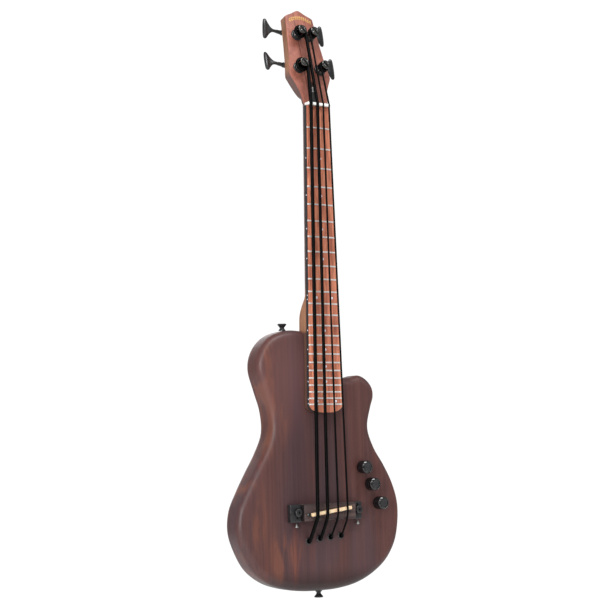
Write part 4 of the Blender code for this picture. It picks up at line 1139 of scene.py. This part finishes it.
def make_bridge():
    base = boxed("base", (-44.5, -37, 112), (44.5, -21.3, 136), 1.3)
    slot = cutter_box((-34.8, -41, -2.8), (34.8, -25, 2.8), SADDLE_PLACE)
    base = carved(base, slot, cutter_bar(3.4, 15.2, 18, on_front(*SADDLE_SCREW)))
    makers = [put_mesh(base)]
    for _, side, width, _, _ in BRIDGE_ENDS:
        near, far = sorted((side * 41, side * (END_X + width - 1.7)))
        makers.append(put_mesh(boxed("tongue", (near, -26.8, 116.4), (far, -21.6, 119.8), 0.2)))
    piece(mesh_of("bridge_base_piece", *makers), BRIDGE, "bridge", "bridge_rosewood", "bridge_base", sharp=35)

    saddle = boxed("saddle_piece", (-34.5, -40.6, -2.5), (34.5, -27.3, 2.5), 1.1, SADDLE_PLACE, 4)
    piece(saddle, SADDLE, "bridge", "bone", "saddle", sharp=40)

    washer = ((0, 15.3, 0), (2.6, 15.3, 0), (2.6, 15.7, 0), (0, 15.7, 0))
    pin = mesh_of("saddle_pin", put_mesh(cross_screw(2.5, 1.5), on_front(*SADDLE_SCREW) @ shift(0, 0, 15.6)),
                  lambda work: lathe(work, washer, on_front(*SADDLE_SCREW), 28))
    piece(pin, DARK_STEEL, "bridge", "steel")
    for end in BRIDGE_ENDS:
        make_bridge_end(*end)


def make_bridge_end(word, side, width, clamp_x, screw_x):
    """An end block with its clamp screw, and the intonation screw that goes through it."""
    clamp_place = on_front(clamp_x, CLAMP_Z)
    near, far = sorted((side * END_X, side * (END_X + width)))
    bracket = boxed("bracket_" + word, (near, -30, 111), (far, -21.3, 136), 0.9)
    low, high = sorted((side * 42, side * (END_X + width - 1.2)))
    cutters = [
        cutter_box((low, -27.2, 114), (high, -19, 122.2)),
        cutter_bar(2.8, -5, 20, clamp_place),
        cutter_bar(6.8, 8.3, 12, clamp_place, 40),
        cutter_bar(1.4, 5, 12, on_front(clamp_x - 1.4, CLAMP_Z + side * 7.7)),
        cutter_bar(1.7, -4, 10, shift(screw_x, FRONT_Y / MM - 3.8, 106)),
    ]
    piece(carved(bracket, *cutters), BLACK, ROOT, "black_metal", "bridge_bracket_" + word)

    def knurl(radius, height, step):
        return radius - (0.22 if radius > 5.4 and step % 4 in (2, 3) else 0)

    clamp = ((0, 13, 0), (4.6, 13, 0.3), (5.3, 12.6, 0.2), (5.9, 12.0, 0.2), (5.9, 10.0, 0.2),
             (5.1, 9.4, 0.2), (2.5, 9.4, 0), (2.5, -12, 0), (0, -12, 0))
    screw = turned("clamp_" + word, clamp, clamp_place, 144, reach=knurl)
    screw = carved(screw, cutter_bar(1.9, 10.4, 15, clamp_place, 6))
    piece(screw, BLACK, "clamp_" + word, "black_metal", "bridge_clamp_screw_" + word)

    down = shift(screw_x, FRONT_Y / MM - 3.8, SADDLE_Z / MM) @ spin("X", 180)
    head = ((0, 28.8, 0), (2.5, 28.8, 0.2), (2.6, 28.2, 0.2), (0.9, 23.6, 0.3), (0, 23.6, 0))
    cone = carved(turned("intonation_cone_" + word, head, down, 28),
                  cutter_box((-4, -0.45, 27.9), (4, 0.45, 32), down))
    piece(cone, DULL_STEEL, "intonation_" + word, "steel")
    shank = ((0, 24.2, 0), (0.8, 24.2, 0), (0.8, 21.6, 0.1), (1.4, 21.2, 0), (1.4, 10.4, 0), (0, 10.4, 0))
    shaft = turned("intonation_" + word, shank, down, 20)
    piece(shaft, BLACK, "intonation_" + word, "steel", "intonation_screw_" + word)


# ---- controls and fittings

def make_control(word, x, z):
    place = on_front(x, z)

    def knurl(radius, height, step):
        return radius - (0.28 if radius > 8.8 and height < 14.2 and step % 4 == 0 else 0)

    side = ((0, 15.2, 0), (6.0, 15.2, 0.1), (6.25, 16.2, 0.25), (7.3, 16.5, 0.3), (9.15, 14.9, 0.6),
            (9.2, 13.7, 0.2), (9.4, 1.6, 0.2), (9.3, 0.8, 0.2), (7.6, 0.8, 0), (7.6, 9, 0), (3, 9, 0),
            (3, -7, 0), (0, -7, 0))
    shell = turned("knob_" + word, side, place, 160, reach=knurl)
    piece(shell, SHINY_BLACK, word + "_control", "black_plastic", word + "_knob", sharp=30)

    # a shallow dish with fine turned rings
    dish = [(0, 15.5, 0)]
    for i in range(1, 12):
        dish.append((i * 0.5, 15.5 + 0.004 * i * i + (0.035 if i % 2 else 0), 0))
    dish += [(5.95, 15.9, 0), (5.95, 15.25, 0), (0, 15.25, 0)]
    piece(turned("knob_face_" + word, dish, place, 64), KNOB_FACE, word + "_control", "black_plastic")


def make_strap_button(word, matrix, top):
    profile = ((2.3, top - 0.9, 0.1), (3.6, top, 0.3), (6.2, top, 0.4), (6.7, top - 1.2, 0.4),
               (3.4, top - 5.4, 1.2), (3.1, 3.4, 1.0), (5.0, 1.2, 0.5), (5.4, 0, 0), (2.3, 0, 0))
    button = turned("strap_button_" + word, profile, matrix, 48, ring=True)
    piece(button, BLACK, ROOT, "black_metal", word + "_strap_button")
    shank = ((0, top - 1.6, 0), (1.9, top - 1.6, 0), (1.9, -18, 0), (0.3, -21, 0), (0, -21, 0))
    both = mesh_of("strap_screw_" + word,
                   put_mesh(cross_screw(2.2, 1.1), matrix @ shift(0, 0, top - 1.5)),
                   lambda work: lathe(work, shank, matrix, 16))
    piece(both, STEEL, ROOT, "black_metal", word + "_strap_button_screw")


def make_jack():
    profile = ((3.2, 3.4, 0.3), (5.4, 3.4, 0.5), (5.6, 1.2, 0.1), (11.2, 1.2, 0.5), (12, -1.2, 0.2),
               (7.4, -1.2, 0), (7.4, -26, 0), (5, -26, 0), (5, -21, 0), (3.2, -21, 0))
    nut = ((5.7, 1.2, 0), (8.2, 1.2, 0.1), (8.2, 2.6, 0.3), (5.7, 2.6, 0.1))
    both = mesh_of("jack_piece", lambda work: lathe(work, profile, JACK, 48, ring=True),
                   lambda work: lathe(work, nut, JACK, 6, ring=True))
    piece(both, BLACK, ROOT, "black_metal", "output_jack")


def make_back():
    makers = [lambda work: slab(work, rounded_rectangle(23.2, 51.2, 8.8), 1.6, 0.4, cavity_frame(20.1), 3)]
    for x, z in ((20.2, 47.5), (-20.2, 47.5), (-20.2, -47.5), (20.2, -47.5), (21, 0), (-21, 0)):
        place = cavity_frame(20.9) @ shift(x * 0.99, z * 0.985, -0.1)
        makers.append(put_mesh(SMALL_SCREW, place))
    piece(mesh_of("control_cover_piece", *makers), PLASTIC, ROOT, "black_plastic", "control_cover")

    plate = slab_mesh("plate", rounded_rectangle(25, 21, 6), 2, 0.5, on_back(0, NECK_PLATE_Z, 1.3), 3)
    plate = carved(plate, *[cutter_bar(2.6, -2, 6, on_back(x, z)) for x, z in NECK_SCREWS])
    piece(plate, BLACK, ROOT, "black_metal", "neck_plate")
    for number, (x, z) in enumerate(NECK_SCREWS, 1):
        shank = ((0, 0.2, 0), (1.6, 0.2, 0), (1.6, -39, 0), (0, -39, 0))
        place = on_back(x, z, 2.5)
        screw = mesh_of("neck_screw_piece_%d" % number, put_mesh(PLATE_SCREW, place),
                        lambda work: lathe(work, shank, place, 12))
        piece(screw, STEEL, ROOT, "steel", "neck_screw_%d" % number)


def dress_hidden_nodes():
    """The CAD's own solids that stay: what lies inside the wood."""
    kept = {"truss_rod": STEEL, "piezo_pickup": FILM, "preamp_board": CIRCUIT, "battery": BATTERY,
            "volume_pot": STEEL, "bass_pot": STEEL, "treble_pot": STEEL}
    for name, look in kept.items():
        node = frame["nodes"][name]
        for place in node.material_slots:
            place.material = look


# ---- studio

LAMPS = (                 # place, aim and size in metres, and power in watts
    ("key_softbox", (-1.7, -1.9, 1.9), (0, 0, 0.4), (1.3, 1.3), 18),
    ("left_strip", (-2.2, -1.43, 0.62), (0, 0, 0.35), (0.34, 1.3), 34),
    ("top_strip", (0.05, -1.12, 2.5), (0.05, 0, 0.2), (1.6, 0.42), 32),
    ("right_fill", (2.0, -1.6, 1.5), (0, 0, 0.4), (1.2, 1.2), 7),
    ("back_fill", (0.5, 2.4, 1.2), (0, 0, 0.4), (1.6, 1.6), 18),
)
FLOOR_Z = -0.42
SEEN_WHITE = 1.05                    # the backdrop as the camera sees it
LIGHT_WHITE = 0.32                   # the same backdrop as a light


def in_scene(name, data):
    made = bpy.data.objects.new(name, data)
    bpy.context.scene.collection.objects.link(made)
    return made


def make_floor():
    """A wide pale disc under the hanging bass."""
    disc = ((0, -20, 0), (2300, -20, 0), (2300, 0, 0), (0, 0, 0))
    floor_mesh = turned("studio_floor", disc, Matrix.Translation((0, 0, FLOOR_Z)), 64)
    pale = Look("pale_floor", rgb(250, 250, 250), 0.9, Emission_Color=(1, 1, 1, 1), Emission_Strength=0.2)
    floor_mesh.materials.append(pale.material)
    floor = in_scene("studio_floor", floor_mesh)


def make_backdrop():
    """A white world, brighter to the camera than as a light."""
    world = bpy.data.worlds.new("studio")
    bpy.context.scene.world = world
    world.use_nodes = True
    tree = world.node_tree
    tree.nodes.clear()
    choose = tree.nodes.new("ShaderNodeMixShader")
    for socket, strength in ((1, LIGHT_WHITE), (2, SEEN_WHITE)):
        white = tree.nodes.new("ShaderNodeBackground")
        white.inputs["Color"].default_value = (1, 1, 1, 1)
        white.inputs["Strength"].default_value = strength
        tree.links.new(white.outputs[0], choose.inputs[socket])
    path = tree.nodes.new("ShaderNodeLightPath")
    tree.links.new(path.outputs["Is Camera Ray"], choose.inputs[0])
    out = tree.nodes.new("ShaderNodeOutputWorld")
    tree.links.new(choose.outputs[0], out.inputs["Surface"])


def make_studio():
    make_floor()
    make_backdrop()
    for name, place, aim, size, power in LAMPS:
        lamp = bpy.data.lights.new(name, "AREA")
        lamp.shape = "RECTANGLE"
        lamp.size, lamp.size_y = size
        lamp.energy = power
        made = in_scene(name, lamp)
        made.location = place
        made.rotation_euler = (Vector(aim) - Vector(place)).to_track_quat("-Z", "Y").to_euler()
    bpy.context.scene.view_settings.view_transform = "Standard"


def make_camera():
    # the camera's own axes, and its place in metres
    right = (0.83966, -0.54248, -0.02625)
    up = (-0.02639, -0.08902, 0.99568)
    behind = (-0.54247, -0.83534, -0.08907)
    place = (-1.21283, -1.85413, 0.22590)
    data = bpy.data.cameras.new("camera")
    data.sensor_width = 36
    data.lens = 88.76
    data.clip_end = 50
    camera = in_scene("camera", data)
    columns = [(*axis, 0) for axis in (right, up, behind)] + [(*place, 1)]
    camera.matrix_world = Matrix(columns).transposed()
    bpy.context.scene.camera = camera


make_camera()
make_studio()
make_body()
make_neck()
make_fingerboard()
make_frets()
make_nut()
make_truss_rod()
for post in POSTS:
    make_post(post)
    make_bushing(post)
    make_housing(post)
    make_key(post)
for string in STRINGS:
    make_string(*string)
make_bridge()
for control in KNOBS:
    make_control(*control)
make_strap_button("upper", shift(-51.5, 0, 386.3), 10)
make_strap_button("end", shift(0, 0, 10.3) @ spin("X", 180), 10.3)
make_jack()
make_back()
dress_hidden_nodes()
